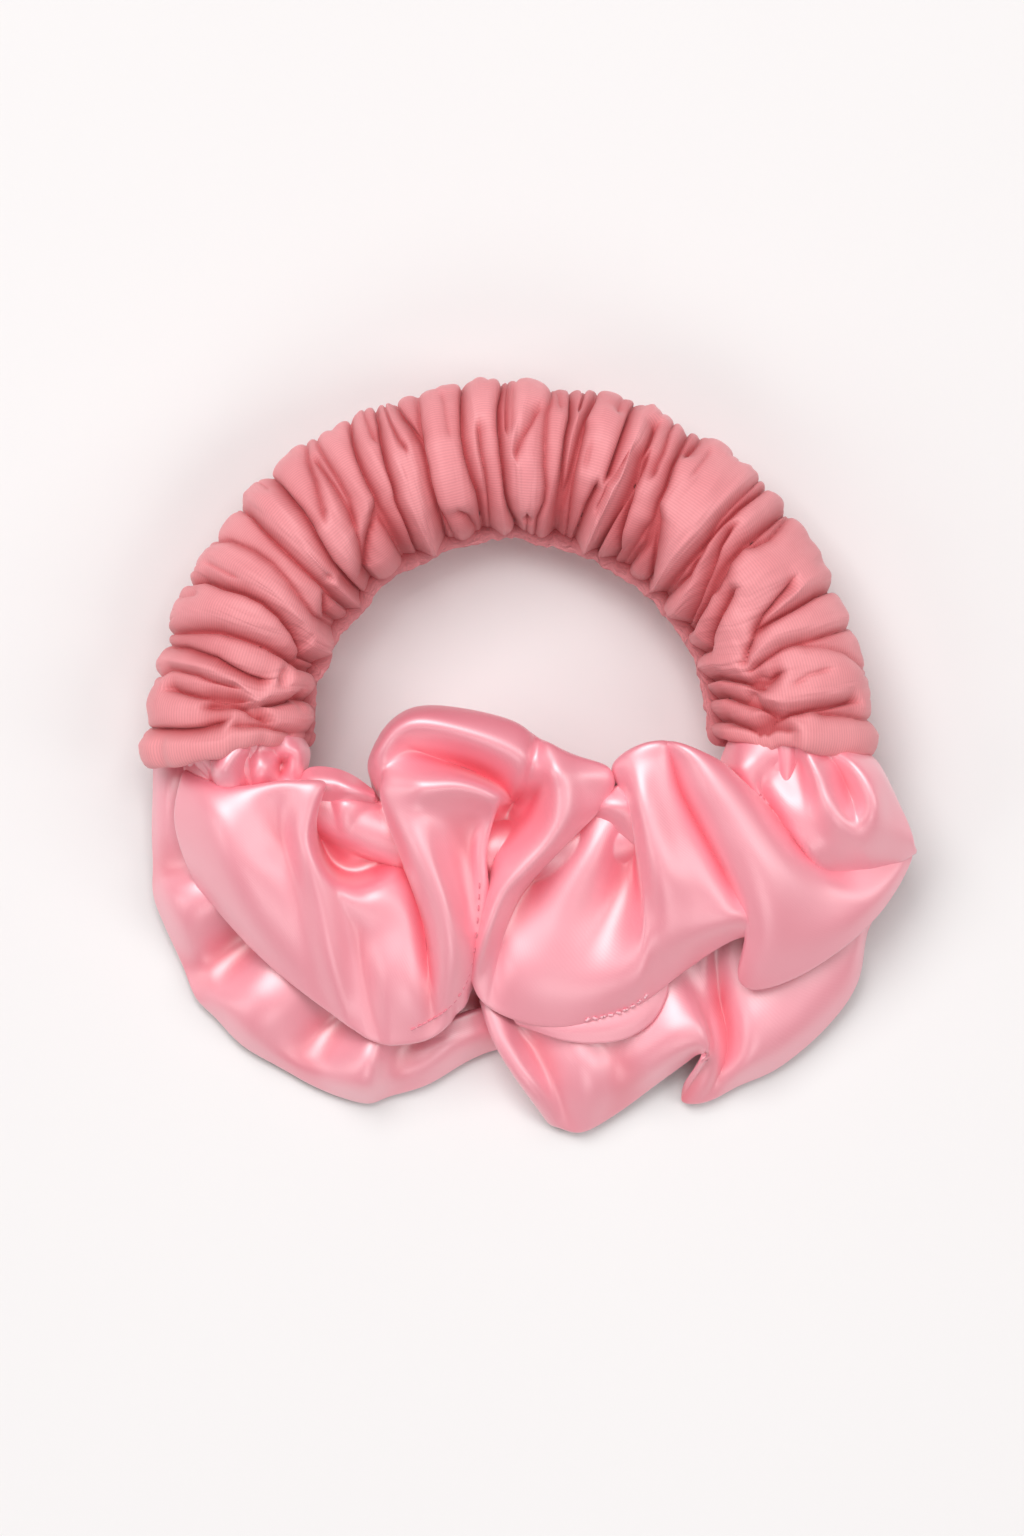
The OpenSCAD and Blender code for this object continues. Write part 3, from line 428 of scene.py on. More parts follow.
def resample(line, count):
    """count points evenly spaced by index along a dense line."""
    at = np.linspace(0, len(line) - 1, count)
    low = np.minimum(at.astype(int), len(line) - 2)
    part = (at - low)[:, None]
    return line[low] * (1 - part) + line[low + 1] * part


def normals_of(grid):
    """Unit normals of a grid of points."""
    du = np.gradient(grid, axis=0)
    dv = np.gradient(grid, axis=1)
    n = np.cross(du, dv)
    return n / np.maximum(np.linalg.norm(n, axis=-1, keepdims=True), 1e-9)


def cloth_lengths(grid):
    """Lengths along and across a grid of points, which a weave follows, as (rows, columns, 2)."""
    along = np.linalg.norm(np.diff(grid, axis=0), axis=-1).mean(1)
    across = np.linalg.norm(np.diff(grid, axis=1), axis=-1).mean(0)
    u = np.concatenate([[0], np.cumsum(along)])
    v = np.concatenate([[0], np.cumsum(across)])
    return np.stack(np.meshgrid(u, v, indexing="ij"), axis=-1)


def add_mesh(name, points, faces, cloth=None):
    """A smooth-shaded mesh object from points in mm. cloth holds the weave's lengths in mm."""
    mesh = bpy.data.meshes.new(name)
    mesh.from_pydata((np.asarray(points) * MM).tolist(), [], faces)
    mesh.update()
    if cloth is not None:
        layer = mesh.attributes.new("cloth", "FLOAT_VECTOR", "POINT")
        flat = np.zeros((len(points), 3), np.float32)
        flat[:, :cloth.shape[1]] = cloth
        layer.data.foreach_set("vector", flat.ravel())
    mesh.polygons.foreach_set("use_smooth", np.ones(len(mesh.polygons), bool))
    piece = bpy.data.objects.new(name, mesh)
    bpy.context.collection.objects.link(piece)
    return piece


def set_values(piece, name, values):
    """Gives each point of a piece a value that its material reads."""
    layer = piece.data.attributes.new(name, "FLOAT", "POINT")
    layer.data.foreach_set("value", np.asarray(values, np.float32).ravel())


def grid_faces(rows, columns, start=0, flip=False, wrap=False):
    """Quads of a grid of points numbered row by row. wrap closes each row on itself."""
    i, j = np.meshgrid(np.arange(rows - 1), np.arange(columns if wrap else columns - 1), indexing="ij")
    k = (j + 1) % columns
    quads = np.stack([i * columns + j, (i + 1) * columns + j, (i + 1) * columns + k, i * columns + k], -1)
    quads = quads.reshape(-1, 4) + start
    return (quads[:, ::-1] if flip else quads).tolist()


def rim_order(rows, columns):
    """Grid indices round the edge of a grid, in order."""
    top = [(0, j) for j in range(columns)]
    right = [(i, columns - 1) for i in range(1, rows)]
    bottom = [(rows - 1, j) for j in range(columns - 2, -1, -1)]
    left = [(i, 0) for i in range(rows - 2, 0, -1)]
    return top + right + bottom + left


def sheet_piece(name, grid, thickness):
    """A closed sheet of cloth round a grid of middle points, with a rounded edge all the way round."""
    rows, columns = grid.shape[:2]
    n = normals_of(grid)
    if n[..., 2].mean() < 0:
        n = -n
    half = thickness / 2
    upper, lower = grid + n * half, grid - n * half
    cloth = cloth_lengths(grid)
    inward = np.zeros_like(grid)
    inward[0] += grid[0] - grid[1]
    inward[-1] += grid[-1] - grid[-2]
    inward[:, 0] += grid[:, 0] - grid[:, 1]
    inward[:, -1] += grid[:, -1] - grid[:, -2]
    rim = rim_order(rows, columns)
    ri, rj = np.array(rim).T
    out = inward[ri, rj]
    out -= n[ri, rj] * (out * n[ri, rj]).sum(-1, keepdims=True)
    out /= np.maximum(np.linalg.norm(out, axis=-1, keepdims=True), 1e-9)
    turn = [math.radians(a) for a in (36, 72, 108, 144)]
    rings = [grid[ri, rj] + half * (math.cos(a) * n[ri, rj] + math.sin(a) * out) for a in turn]
    points = np.concatenate([upper.reshape(-1, 3), lower.reshape(-1, 3)] + rings)
    weave = np.concatenate([cloth.reshape(-1, 2)] * 2 + [cloth[ri, rj]] * len(turn))
    # painted shade: how far each point sinks below the softened sheet, which darkens the satin there
    sunk = np.clip((soften(grid, 12.0, 10.0) - grid)[..., 2] / HOLLOW_DEPTH, 0, 1)
    hollow = np.concatenate([sunk.ravel()] * 2 + [sunk[ri, rj]] * len(turn))
    size = rows * columns
    top_ids = ri * columns + rj
    loops = [top_ids] + [2 * size + k * len(rim) + np.arange(len(rim)) for k in range(len(turn))]
    loops.append(size + top_ids)
    # the upper side's quads must face the way its normals point
    mid_i, mid_j = rows // 2, columns // 2
    du = grid[mid_i + 1, mid_j] - grid[mid_i, mid_j]
    dv = grid[mid_i, mid_j + 1] - grid[mid_i, mid_j]
    flip = float(np.dot(np.cross(du, dv), n[mid_i, mid_j])) < 0
    faces = grid_faces(rows, columns, 0, flip) + grid_faces(rows, columns, size, not flip)
    for a, b in zip(loops[:-1], loops[1:]):
        a2, b2 = np.roll(a, -1), np.roll(b, -1)
        quads = np.stack([a, a2, b2, b], -1)
        faces += (quads[:, ::-1] if flip else quads).tolist()
    piece = add_mesh(name, points, faces, weave)
    set_values(piece, "hollow", hollow)
    return piece


def loft(ribs, across, along):
    """A grid of points lofted through ribs: across points along each rib, along steps between two ribs."""
    lines = np.stack([resample(catmull(rib, 24), across) for rib in ribs])
    return catmull(lines, along)


def press(grid, strokes):
    """Raises or presses a grid along strokes: (height, width, [(x, y), ...]), in mm seen from above."""
    for height, width, line in strokes:
        line = resample(catmull([(x, y, 0) for x, y in line], 12), 40)
        flat = grid[..., None, :2] - line[:, :2]
        gap = np.sqrt((flat ** 2).sum(-1)).min(-1)
        grid[..., 2] += height * np.exp(-(gap / width) ** 2)
    return grid


def soften(grid, along, across):
    """Blurs a grid, so the cloth flows. The spreads are in grid steps, and the edges keep their lines."""
    for axis, spread in ((0, along), (1, across)):
        reach = int(3 * spread)
        weights = np.exp(-0.5 * (np.arange(-reach, reach + 1) / spread) ** 2)
        weights /= weights.sum()
        pad = [(0, 0)] * 3
        pad[axis] = (reach, reach)
        # odd reflection keeps the first and last points where they are
        wide = np.pad(grid, pad, mode="reflect", reflect_type="odd")
        size = grid.shape[axis]
        grid = sum(w * np.take(wide, np.arange(k, k + size), axis) for k, w in enumerate(weights))
    return grid


def clear_casing(grid, first):
    """Lifts a sheet over the casing, from this column of the grid on."""
    part = grid[:, first:]
    sweep = np.clip(part[..., 0], -RING_R, RING_R)
    gap = part[..., 1] - (LOWER_R - DROP - np.sqrt(LOWER_R ** 2 - sweep ** 2))
    reach = CASING_R + 1.3      # the casing, its pleats and half the cloth
    need = RING_Z + np.sqrt(np.maximum(reach ** 2 - gap ** 2, 0))
    near = np.abs(gap) < reach
    part[..., 2] = np.where(near, np.maximum(part[..., 2], need), part[..., 2])
    return grid


def lower_run(x):
    """y of the lower run's centre line at x."""
    return LOWER_R - DROP - math.sqrt(LOWER_R ** 2 - x ** 2)


def smooth_noise(rng, cells, shape, wrap_second=False):
    """Smooth random values between -1 and 1 on a grid of this shape, from a coarse grid of cells."""
    coarse = rng.uniform(-1, 1, cells)
    if wrap_second:
        coarse[:, -1] = coarse[:, 0]
    u = np.linspace(0, cells[0] - 1.001, shape[0])
    v = np.linspace(0, cells[1] - 1.001, shape[1])
    i, j = u.astype(int), v.astype(int)
    fu, fv = u - i, v - j
    fu, fv = (fu * fu * (3 - 2 * fu))[:, None], (fv * fv * (3 - 2 * fv))[None]
    near = coarse[np.ix_(i, j)] * (1 - fu) + coarse[np.ix_(i + 1, j)] * fu
    far = coarse[np.ix_(i, j + 1)] * (1 - fu) + coarse[np.ix_(i + 1, j + 1)] * fu
    return near * (1 - fv) + far * fv


# ---------------------------------------------------------------- materials
def new_material(name):
    """A node material, with its nodes, its links and its shader."""
    material = bpy.data.materials.new(name)
    material.use_nodes = True
    nodes = material.node_tree.nodes
    return material, nodes, material.node_tree.links, nodes["Principled BSDF"]


def node(nodes, kind, **values):
    """Adds a node. Each value sets the input of that name, or else the property."""
    made = nodes.new(kind)
    for key, value in values.items():
        if key in made.inputs:
            made.inputs[key].default_value = value
        else:
            setattr(made, key, value)
    return made


def set_inputs(made, values):
    """Sets several inputs of a node by their names."""
    for name, value in values.items():
        made.inputs[name].default_value = value


def cloth_vector(nodes, links, turn=0.0, stretch=(1, 1, 1)):
    """The weave's own lengths in mm, turned by an angle in degrees."""
    lengths = node(nodes, "ShaderNodeAttribute", attribute_name="cloth")
    mapping = node(nodes, "ShaderNodeMapping", Rotation=(0, 0, math.radians(turn)), Scale=stretch)
    links.new(lengths.outputs["Vector"], mapping.inputs["Vector"])
    return mapping.outputs["Vector"]


def ramp(nodes, links, value, low_at, low, high_at, high):
    """A colour that goes from low to high while a value goes from low_at to high_at."""
    made = node(nodes, "ShaderNodeValToRGB")
    first, last = made.color_ramp.elements[0], made.color_ramp.elements[1]
    first.position, last.position = low_at, high_at
    first.color, last.color = (*low, 1), (*high, 1)
    links.new(value, made.inputs["Fac"])
    return made.outputs["Color"]


def mottled(nodes, links, vector, scale, low, high, detail=3.0):
    """A colour that wanders between two others."""
    noise = node(nodes, "ShaderNodeTexNoise", Scale=scale, Detail=detail)
    links.new(vector, noise.inputs["Vector"])
    return ramp(nodes, links, noise.outputs["Fac"], 0.3, low, 0.7, high)


def mixed(nodes, links, low, high, factor, **values):
    """A mix of two colours. The factor is a number or another node's output."""
    mix = node(nodes, "ShaderNodeMix", data_type="RGBA", **values)
    if isinstance(factor, float):
        mix.inputs["Factor"].default_value = factor
    else:
        links.new(factor, mix.inputs["Factor"])
    links.new(low, mix.inputs["A"])
    if isinstance(high, tuple):
        mix.inputs["B"].default_value = high
    else:
        links.new(high, mix.inputs["B"])
    return mix.outputs["Result"]


def lines(nodes, links, vector, period, distortion=0.0, direction="X"):
    """Fine parallel lines this many mm apart, as a height."""
    wave = node(nodes, "ShaderNodeTexWave", Scale=2 * math.pi / (20 * period), Distortion=distortion,
                bands_direction=direction)
    set_inputs(wave, {"Detail": 1.0, "Detail Scale": 3.0})
    links.new(vector, wave.inputs["Vector"])
    return wave.outputs["Fac"]


def add_bump(nodes, links, height, strength, distance, after=None):
    """Bumps from a height, this many mm deep, on top of another bump if one is given."""
    bump = node(nodes, "ShaderNodeBump", Strength=strength, Distance=distance * MM)
    links.new(height, bump.inputs["Height"])
    if after is not None:
        links.new(after.outputs["Normal"], bump.inputs["Normal"])
    return bump


def vary_roughness(nodes, links, shader, value, low, high):
    """Lets the shader's roughness follow a value, between two limits."""
    rough = node(nodes, "ShaderNodeMapRange")
    set_inputs(rough, {"To Min": low, "To Max": high})
    links.new(value, rough.inputs["Value"])
    links.new(rough.outputs["Result"], shader.inputs["Roughness"])


def jersey_material():
    """Matte knit: wales along the tube, small wrinkles, and painted shade that darkens its creases."""
    material, nodes, links, shader = new_material("jersey_knit")
    vector = cloth_vector(nodes, links)
    base = mottled(nodes, links, vector, 0.09, (0.84, 0.29, 0.315), (0.91, 0.345, 0.37))
    wales = lines(nodes, links, vector, 0.5, 0.6, "Y")
    shade = mixed(nodes, links, base, wales, 0.12, blend_type="MULTIPLY")
    # painted shade: the colour darkens towards deep rose where the folds' fullness drops into a crease
    crease = node(nodes, "ShaderNodeAttribute", attribute_name="fullness").outputs["Fac"]
    crease_shade = ramp(nodes, links, crease, 0.30, (0.62, 0.27, 0.28), 0.90, (1, 1, 1))
    links.new(mixed(nodes, links, shade, crease_shade, 1.0, blend_type="MULTIPLY"), shader.inputs["Base Color"])
    fuzz = node(nodes, "ShaderNodeTexNoise", Scale=1.6, Detail=4.0)
    links.new(vector, fuzz.inputs["Vector"])
    stretched = cloth_vector(nodes, links, 0, (1.0, 0.07, 1.0))
    wrinkle = node(nodes, "ShaderNodeTexNoise", Scale=0.8, Detail=2.0, Roughness=0.5, Distortion=0.3)
    links.new(stretched, wrinkle.inputs["Vector"])
    creased = add_bump(nodes, links, wrinkle.outputs["Fac"], 0.45, 0.7)
    knit = add_bump(nodes, links, wales, 0.30, 0.08, creased)
    bump = add_bump(nodes, links, fuzz.outputs["Fac"], 0.25, 0.10, knit)
    links.new(bump.outputs["Normal"], shader.inputs["Normal"])
    vary_roughness(nodes, links, shader, fuzz.outputs["Fac"], 0.50, 0.62)
    set_inputs(shader, {"Specular IOR Level": 0.35, "Sheen Weight": 0.25, "Sheen Roughness": 0.45,
                        "Sheen Tint": (1.0, 0.75, 0.78, 1)})
    return material


def satin_material():
    """Glossy twill with a soft sheen, and painted shade that deepens the colour in its hollows."""
    material, nodes, links, shader = new_material("satin_weave")
    vector = cloth_vector(nodes, links, 38)
    base = mottled(nodes, links, vector, 0.06, (0.95, 0.235, 0.32), (0.98, 0.29, 0.375), 2.0)
    # painted shade: the colour deepens towards dark red in the sheet's hollows
    hollow = node(nodes, "ShaderNodeAttribute", attribute_name="hollow").outputs["Fac"]
    links.new(mixed(nodes, links, base, (0.85, 0.07, 0.13, 1), hollow), shader.inputs["Base Color"])
    twill = lines(nodes, links, vector, 0.42, 0.4)
    slub = node(nodes, "ShaderNodeTexNoise", Scale=0.8, Detail=3.0)
    links.new(vector, slub.inputs["Vector"])
    weave = add_bump(nodes, links, twill, 0.18, 0.06)
    bump = add_bump(nodes, links, slub.outputs["Fac"], 0.16, 0.16, weave)
    links.new(bump.outputs["Normal"], shader.inputs["Normal"])
    vary_roughness(nodes, links, shader, slub.outputs["Fac"], 0.42, 0.50)
    set_inputs(shader, {"Specular IOR Level": 1.0, "Coat Weight": 1.0, "Coat Roughness": 0.47,
                        "Coat IOR": 2.8, "Sheen Weight": 0.30, "Sheen Roughness": 0.40,
                        "Sheen Tint": (1.0, 0.85, 0.9, 1)})
    return material


def plain_material(name, scale, low, high, roughness, detail=3.0):
    """A material whose colour wanders over the object between two others."""
    material, nodes, links, shader = new_material(name)
    where = node(nodes, "ShaderNodeTexCoord").outputs["Object"]
    links.new(mottled(nodes, links, where, scale, low, high, detail), shader.inputs["Base Color"])
    shader.inputs["Roughness"].default_value = roughness
    return material, nodes, links, shader, where


def add_relief(nodes, links, shader, where, strength, distance, kind, **values):
    """Bumps from one texture of this kind, this many mm deep."""
    texture = node(nodes, kind, **values)
    links.new(where, texture.inputs["Vector"])
    bump = add_bump(nodes, links, texture.outputs["Fac"], strength, distance)
    links.new(bump.outputs["Normal"], shader.inputs["Normal"])


def thread_material(name, low, high):
    """Twisted thread whose colour wanders between two others."""
    material, *parts = plain_material(name, 1800.0, low, high, 0.5)
    add_relief(*parts, 0.5, 0.06, "ShaderNodeTexWave", Scale=2200.0, Distortion=1.0,
               bands_direction="DIAGONAL")
    return material


def elastic_material():
    """White woven elastic, with cords along it."""
    material, *parts = plain_material("woven_elastic", 900.0, (0.74, 0.72, 0.70), (0.86, 0.85, 0.83), 0.7)
    add_relief(*parts, 0.6, 0.15, "ShaderNodeTexWave", Scale=420.0, Distortion=0.5, bands_direction="Z")
    return material


def wadding_material():
    """White polyester fibres."""
    material, *parts = plain_material("polyester_wadding", 350.0, (0.78, 0.76, 0.74), (0.9, 0.89, 0.87),
                                      0.9, detail=6.0)
    add_relief(*parts, 0.8, 0.4, "ShaderNodeTexNoise", Scale=900.0, Detail=6.0, Distortion=1.5)
    return material


JERSEY = jersey_material()
SATIN = satin_material()
JERSEY_THREAD = thread_material("rose_thread", (0.45, 0.11, 0.13), (0.58, 0.17, 0.19))
SATIN_THREAD = thread_material("pink_thread", (0.90, 0.42, 0.49), (0.97, 0.58, 0.64))
DEEP_THREAD = thread_material("deep_pink_thread", (0.78, 0.22, 0.29), (0.88, 0.32, 0.39))
ELASTIC = elastic_material()
WADDING = wadding_material()


def dress(piece, material):
    """Gives a piece its material, in its only slot."""
    piece.data.materials.clear()
    piece.data.materials.append(material)


# ---------------------------------------------------------------- the jersey sleeve
RIGHT_END, LEFT_END = -1.0, 182.2      # where the sleeve's lips end, in degrees round the ring
COLUMNS, AROUND, LIP_ROWS = 880, 184, 10
SEAM_AT = 172                          # the seam's place round the tube, inside the ring and low down
UNDER_CREASES = 64                     # on the hidden underside
OUTER_END, INNER_END = 62, -34         # creases past these tilts run on out of sight
SLACK_AT, SLACK_SPREAD = -112, 34      # the knit is slackest at this tilt, on the inside of the ring


def tilt_of(distance):
    """Angle round the tube, from its top outwards, of a point seen this far from the ring's centre."""
    return np.degrees(np.arcsin(np.clip((np.asarray(distance, float) - RING_R) / SLEEVE_R, -0.96, 0.96)))


def under_creases():
    """Random creases underneath: (strength, lean, [(angle, tilt), ...], soft start, soft end)."""
    rng = np.random.default_rng(7)
    margin = 3
    span = LEFT_END - RIGHT_END - 2 * margin
    creases = []
    for k in range(UNDER_CREASES):
        at = RIGHT_END + margin + span * (k + rng.uniform(0.15, 0.85)) / UNDER_CREASES
        drift = rng.uniform(-3, 3)
        turn = rng.uniform(-2, 2)
        reach = rng.uniform(78, 100)
        strength = rng.uniform(0.25, 0.7)
        line = [(at, reach), (at + turn, 140), (at + drift, 195), (at + drift - turn, rng.uniform(222, 246))]
        creases.append((strength, int(rng.integers(-1, 2)), line, 30.0, 30.0))
    return creases


def seen_creases():
    """The creases placed from the photo, in the same form, with their hidden ends added."""
    ends = np.random.default_rng(9)
    creases = []
    for strength, side, line in CREASES:
        tilts = tilt_of([r for _, r in line])
        order = np.argsort(tilts)
        points = [(line[i][0], tilts[i]) for i in order]
        soft_in = soft_out = 13.0
        if points[-1][1] > OUTER_END:
            points.append((points[-1][0] + 0.5 * side, 128))
            soft_out = 34.0
        if points[0][1] < INNER_END:
            points.insert(0, (points[0][0], ends.uniform(-156, -128)))
            soft_in = 38.0
        creases.append((strength, side, points, soft_in, soft_out))
    return creases


def crease_field(theta, tilt):
    """How full the folds stand, from 0 in a crease to 1, and how far each point leans along the ring."""
    full = np.ones((len(theta), len(tilt)))
    lean = np.zeros_like(full)
    quiet = 1 - 0.4 * np.exp(-((tilt - 90) / 28) ** 2)      # creases are shallower on the outer line
    for strength, side, points, soft_in, soft_out in seen_creases() + under_creases():
        angle = np.array([p[0] for p in points])
        tilts = np.array([p[1] for p in points])
        here = np.where(tilt < tilts[0] - 60, tilt + 360, tilt)
        centre = np.interp(here, tilts, angle)
        slope = np.gradient(centre, here, edge_order=1)
        slope = np.clip(np.abs(np.where(np.isfinite(slope), slope, 0)), 0, 2.5)
        ease = (np.clip((here - tilts[0]) / soft_in + 0.6, 0, 1)
                * np.clip((tilts[-1] - here) / soft_out + 0.6, 0, 1))
        ease = ease * ease * (3 - 2 * ease)
        radius = RING_R + SLEEVE_R * np.sin(np.radians(tilt))
        steep = 1 / np.sqrt(1 + (slope * radius / SLEEVE_R) ** 2)
        gap = (theta[:, None] - centre) * math.pi / 180 * radius * steep
        near = np.abs(gap)
        cut = 0.62 * np.exp(-near / 0.40) + 0.38 * np.exp(-(near / 1.7) ** 1.6)
        full *= 1 - strength * ease * quiet * cut
        lean -= side * strength * ease * np.exp(-(near / 2.6) ** 2)
    slack = np.exp(-(((tilt + (180 - SLACK_AT)) % 360 - 180) / SLACK_SPREAD) ** 2)
    soft = soften(full[..., None], 3.5, 0.4)[..., 0]
    return full + slack * (soft - full), soften(lean[..., None], 2.0, 0.4)[..., 0]


def sleeve_grid():
    """The sleeve's angles, its radius, and how far each point shifts along the ring."""
    rng = np.random.default_rng(21)
    theta = np.linspace(RIGHT_END + 2.5, LEFT_END - 2.5, COLUMNS)
    tilt = np.arange(AROUND) * 360 / AROUND - 90
    full, lean = crease_field(theta, tilt)
    shape = full.shape
    broad = smooth_noise(rng, (34, 9), shape, True)
    fine = smooth_noise(rng, (150, 24), shape, True)
    middle = smooth_noise(rng, (90, 16), shape, True)
    radius = SLEEVE_R - FOLD_DEPTH * (1 - full) + 0.5 * broad + 0.10 * fine * full + 0.22 * middle * full
    for angle, distance, size, depth in PITS:
        spot = float(tilt_of(distance))
        across = (theta[:, None] - angle) * math.pi / 180 * distance
        around = (tilt - spot) * math.pi / 180 * SLEEVE_R
        radius = radius - depth * np.exp(-(across ** 2 + around ** 2) / size ** 2)
    outward = np.exp(-((tilt - 72) / 40) ** 2)
    for end, bulge in ((181, 1.3), (-1, 0.8)):
        radius = radius + bulge * np.exp(-((theta[:, None] - end) / 5.0) ** 2) * outward
    radius = np.maximum(radius, SLEEVE_WALL_R + 0.4)
    ring = RING_R + SLEEVE_R * np.sin(np.radians(tilt))
    shift = np.degrees(lean * 1.5 * full / ring)
    # the ends aren't cut square: the left one reaches further on the outside, the right one also on top
    left_reach = 1.3 * np.sin(np.radians(tilt))
    right_reach = -0.9 * np.cos(np.radians(tilt)) - 0.6 * np.sin(np.radians(tilt))
    near_left = np.exp((theta[:, None] - LEFT_END) / 9)
    near_right = np.exp((RIGHT_END - theta[:, None]) / 9)
    shift += near_left * left_reach + near_right * right_reach
    return theta, tilt, radius, shift, full


def tube_points(theta, tilt, radius):
    """Points on the arch's tube. theta and radius are (columns, around). The underside rests on the floor."""
    t, p = np.radians(theta), np.radians(tilt)
    out = RING_R + radius * np.sin(p)
    z = RING_Z + radius * np.cos(p)
    z = 0.5 * (z + 0.3 + np.sqrt((z - 0.3) ** 2 + 0.5)) - 0.35
    return np.stack([out * np.cos(t), out * np.sin(t), np.maximum(z, 0.02)], -1)


def make_sleeve():
    """The ruched tube, its rolled lips and its smooth inside, and the line that its seam follows."""
    theta, tilt, radius, shift, full = sleeve_grid()
    body_theta = theta[:, None] + shift
    body = tube_points(body_theta, tilt, radius)
    rng = np.random.default_rng(5)
    lips = []
    for end, sign in ((0, -1), (-1, 1)):
        edge_theta, edge_radius = body_theta[end], radius[end]
        pucker = (1 + 0.06 * np.sin(np.radians(tilt) * 5 + rng.uniform(0, 6))
                  + 0.04 * np.sin(np.radians(tilt) * 9 + rng.uniform(0, 6)))
        rows = []
        for k in range(1, LIP_ROWS + 1):
            roll = math.radians(185 * k / LIP_ROWS)
            drop = LIP_R * (1 - math.cos(roll)) * np.clip(pucker, 0.7, 1.3) * 0.5
            push = np.degrees(LIP_R * 0.8 * math.sin(roll) * pucker / RING_R)
            rows.append(tube_points(edge_theta + sign * push, tilt, np.maximum(edge_radius - drop, 7.4)))
        lips.append(np.stack(rows))
    outer = np.concatenate([lips[0][::-1], body, lips[1]])
    steps = 150
    inner_theta = np.linspace(LEFT_END - 5.5, RIGHT_END + 5.5, steps)
    inner = tube_points(np.repeat(inner_theta[:, None], AROUND, 1), tilt,
                        np.full((steps, AROUND), SLEEVE_WALL_R))
    inner[..., 2] = np.maximum(inner[..., 2], RING_Z - SLEEVE_WALL_R)
    grid = np.concatenate([outer, inner])
    rows = len(grid)
    faces = grid_faces(rows, AROUND, 0, False, True)
    last = np.arange(AROUND) + (rows - 1) * AROUND
    first = np.arange(AROUND)
    join = np.stack([last, first, np.roll(first, -1), np.roll(last, -1)], -1)
    faces += join.tolist()
    length = 148      # of the knit along the arch
    u = np.concatenate([np.linspace(0, length, len(outer)), np.linspace(length, 0, steps)])
    v = np.arange(AROUND) * 2 * math.pi * SLEEVE_R / AROUND
    cloth = np.stack(np.meshgrid(u, v, indexing="ij"), -1).reshape(-1, 2)
    piece = add_mesh("ruched_sleeve", grid.reshape(-1, 3), faces, cloth)
    # the fullness also sets the painted shade in the jersey's creases
    fullness = np.ones((rows, AROUND), np.float32)
    fullness[LIP_ROWS:LIP_ROWS + COLUMNS] = full
    set_values(piece, "fullness", fullness)
    return piece, body[:, SEAM_AT]


sleeve, SEAM_LINE = make_sleeve()
dress(sleeve, JERSEY)
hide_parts("jersey_sleeve")


# ---------------------------------------------------------------- the satin
def with_gather(ribs, height, tuck):
    """Starts each rib at the casing, so the sheet goes up from it and turns over at its gathered edge."""
    made = []
    for rib in ribs:
        x, y, z = rib[0]
        foot_x = min(max(x * 0.94, -RING_R + 1), RING_R - 1)
        foot_y = lower_run(foot_x)
        foot = (foot_x, foot_y + tuck, height)
        rise = ((x + foot_x) / 2, (y + foot_y + tuck) / 2, (height + z) / 2 - 2.5)
        made.append([foot, rise, (x * 0.995, y - 0.8, z - 3.0)] + list(rib))
    return made


def front_grid():
    """The front ruffle, crisp at some ribs and soft at others, kept clear of the casing."""
    across, along = 160, 9
    foot_points = across * 3 // 10      # the part of each rib that comes up from the casing
    grid = loft(with_gather(FRONT_RIBS, height=12.0, tuck=3.0), across, along)
    rib = np.arange(len(grid)) / along
    crisp = np.clip(np.interp(rib, *zip(*CRISP_RIBS)), 0, 1)[:, None, None]
    grid = soften(grid, 2.0, 2.0) * crisp + soften(grid, 7.0, 5.0) * (1 - crisp)
    grid = clear_casing(press(grid, FRONT_STROKES), foot_points)
    return soften(grid, 1.2, 1.2)


def crumple(grid, seed, cells, height):
    """Small uneven waves that run along the ribs, as in cloth that has been gathered."""
    rng = np.random.default_rng(seed)
    shape = grid.shape[:2]
    return grid + normals_of(grid) * (height * smooth_noise(rng, cells, shape))[..., None]


FRONT_GRID = crumple(front_grid(), seed=41, cells=(34, 4), height=0.22)
front = sheet_piece("front_ruffle", FRONT_GRID, SATIN_T)
dress(front, SATIN)
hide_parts("satin_front_ruffle")
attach(front, "ruffle")


def back_grid():
    """The back ruffle, crisper in its middle."""
    along = 10
    grid = loft(with_gather(BACK_RIBS, height=9.8, tuck=-2.4), 120, along)
    rib = np.arange(len(grid)) / along
    crisp = np.interp(rib, (0, 18, 23, 29, 34, 40), (0.5, 0.5, 0.7, 1.0, 0.8, 0.3))[:, None, None]
    grid = soften(grid, 3.0, 3.0) * crisp + soften(grid, 6.0, 4.0) * (1 - crisp)
    return crumple(grid, seed=42, cells=(34, 4), height=0.30)


back = sheet_piece("back_ruffle", back_grid(), SATIN_T)
dress(back, SATIN)
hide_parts("satin_back_ruffle")
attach(back, "ruffle")

right_grid = soften(loft(RIGHT_END_RIBS, across=90, along=14), along=2.5, across=3.0)
right_grid = crumple(right_grid, seed=43, cells=(10, 4), height=0.15)
right_end = sheet_piece("right_gather", right_grid, SATIN_T)
dress(right_end, SATIN)

knot_grid = press(loft(KNOT_RIBS, across=60, along=10), KNOT_STROKES)
knot_grid = soften(knot_grid, along=2.5, across=2.5)
knot = sheet_piece("left_gather", knot_grid, SATIN_T)
dress(knot, SATIN)

band = sheet_piece("gather_band", loft(BAND_RIBS, across=40, along=12), SATIN_T)
dress(band, SATIN)
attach(band, "ruffle")

fold = sheet_piece("gather_fold", loft(FOLD_RIBS, across=40, along=12), SATIN_T)
dress(fold, SATIN)
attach(fold, "ruffle")

hem = sheet_piece("turned_hem", loft(HEM_RIBS, across=24, along=10), HEM_T)
dress(hem, SATIN)
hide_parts("closing_hem")
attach(hem, "ruffle")


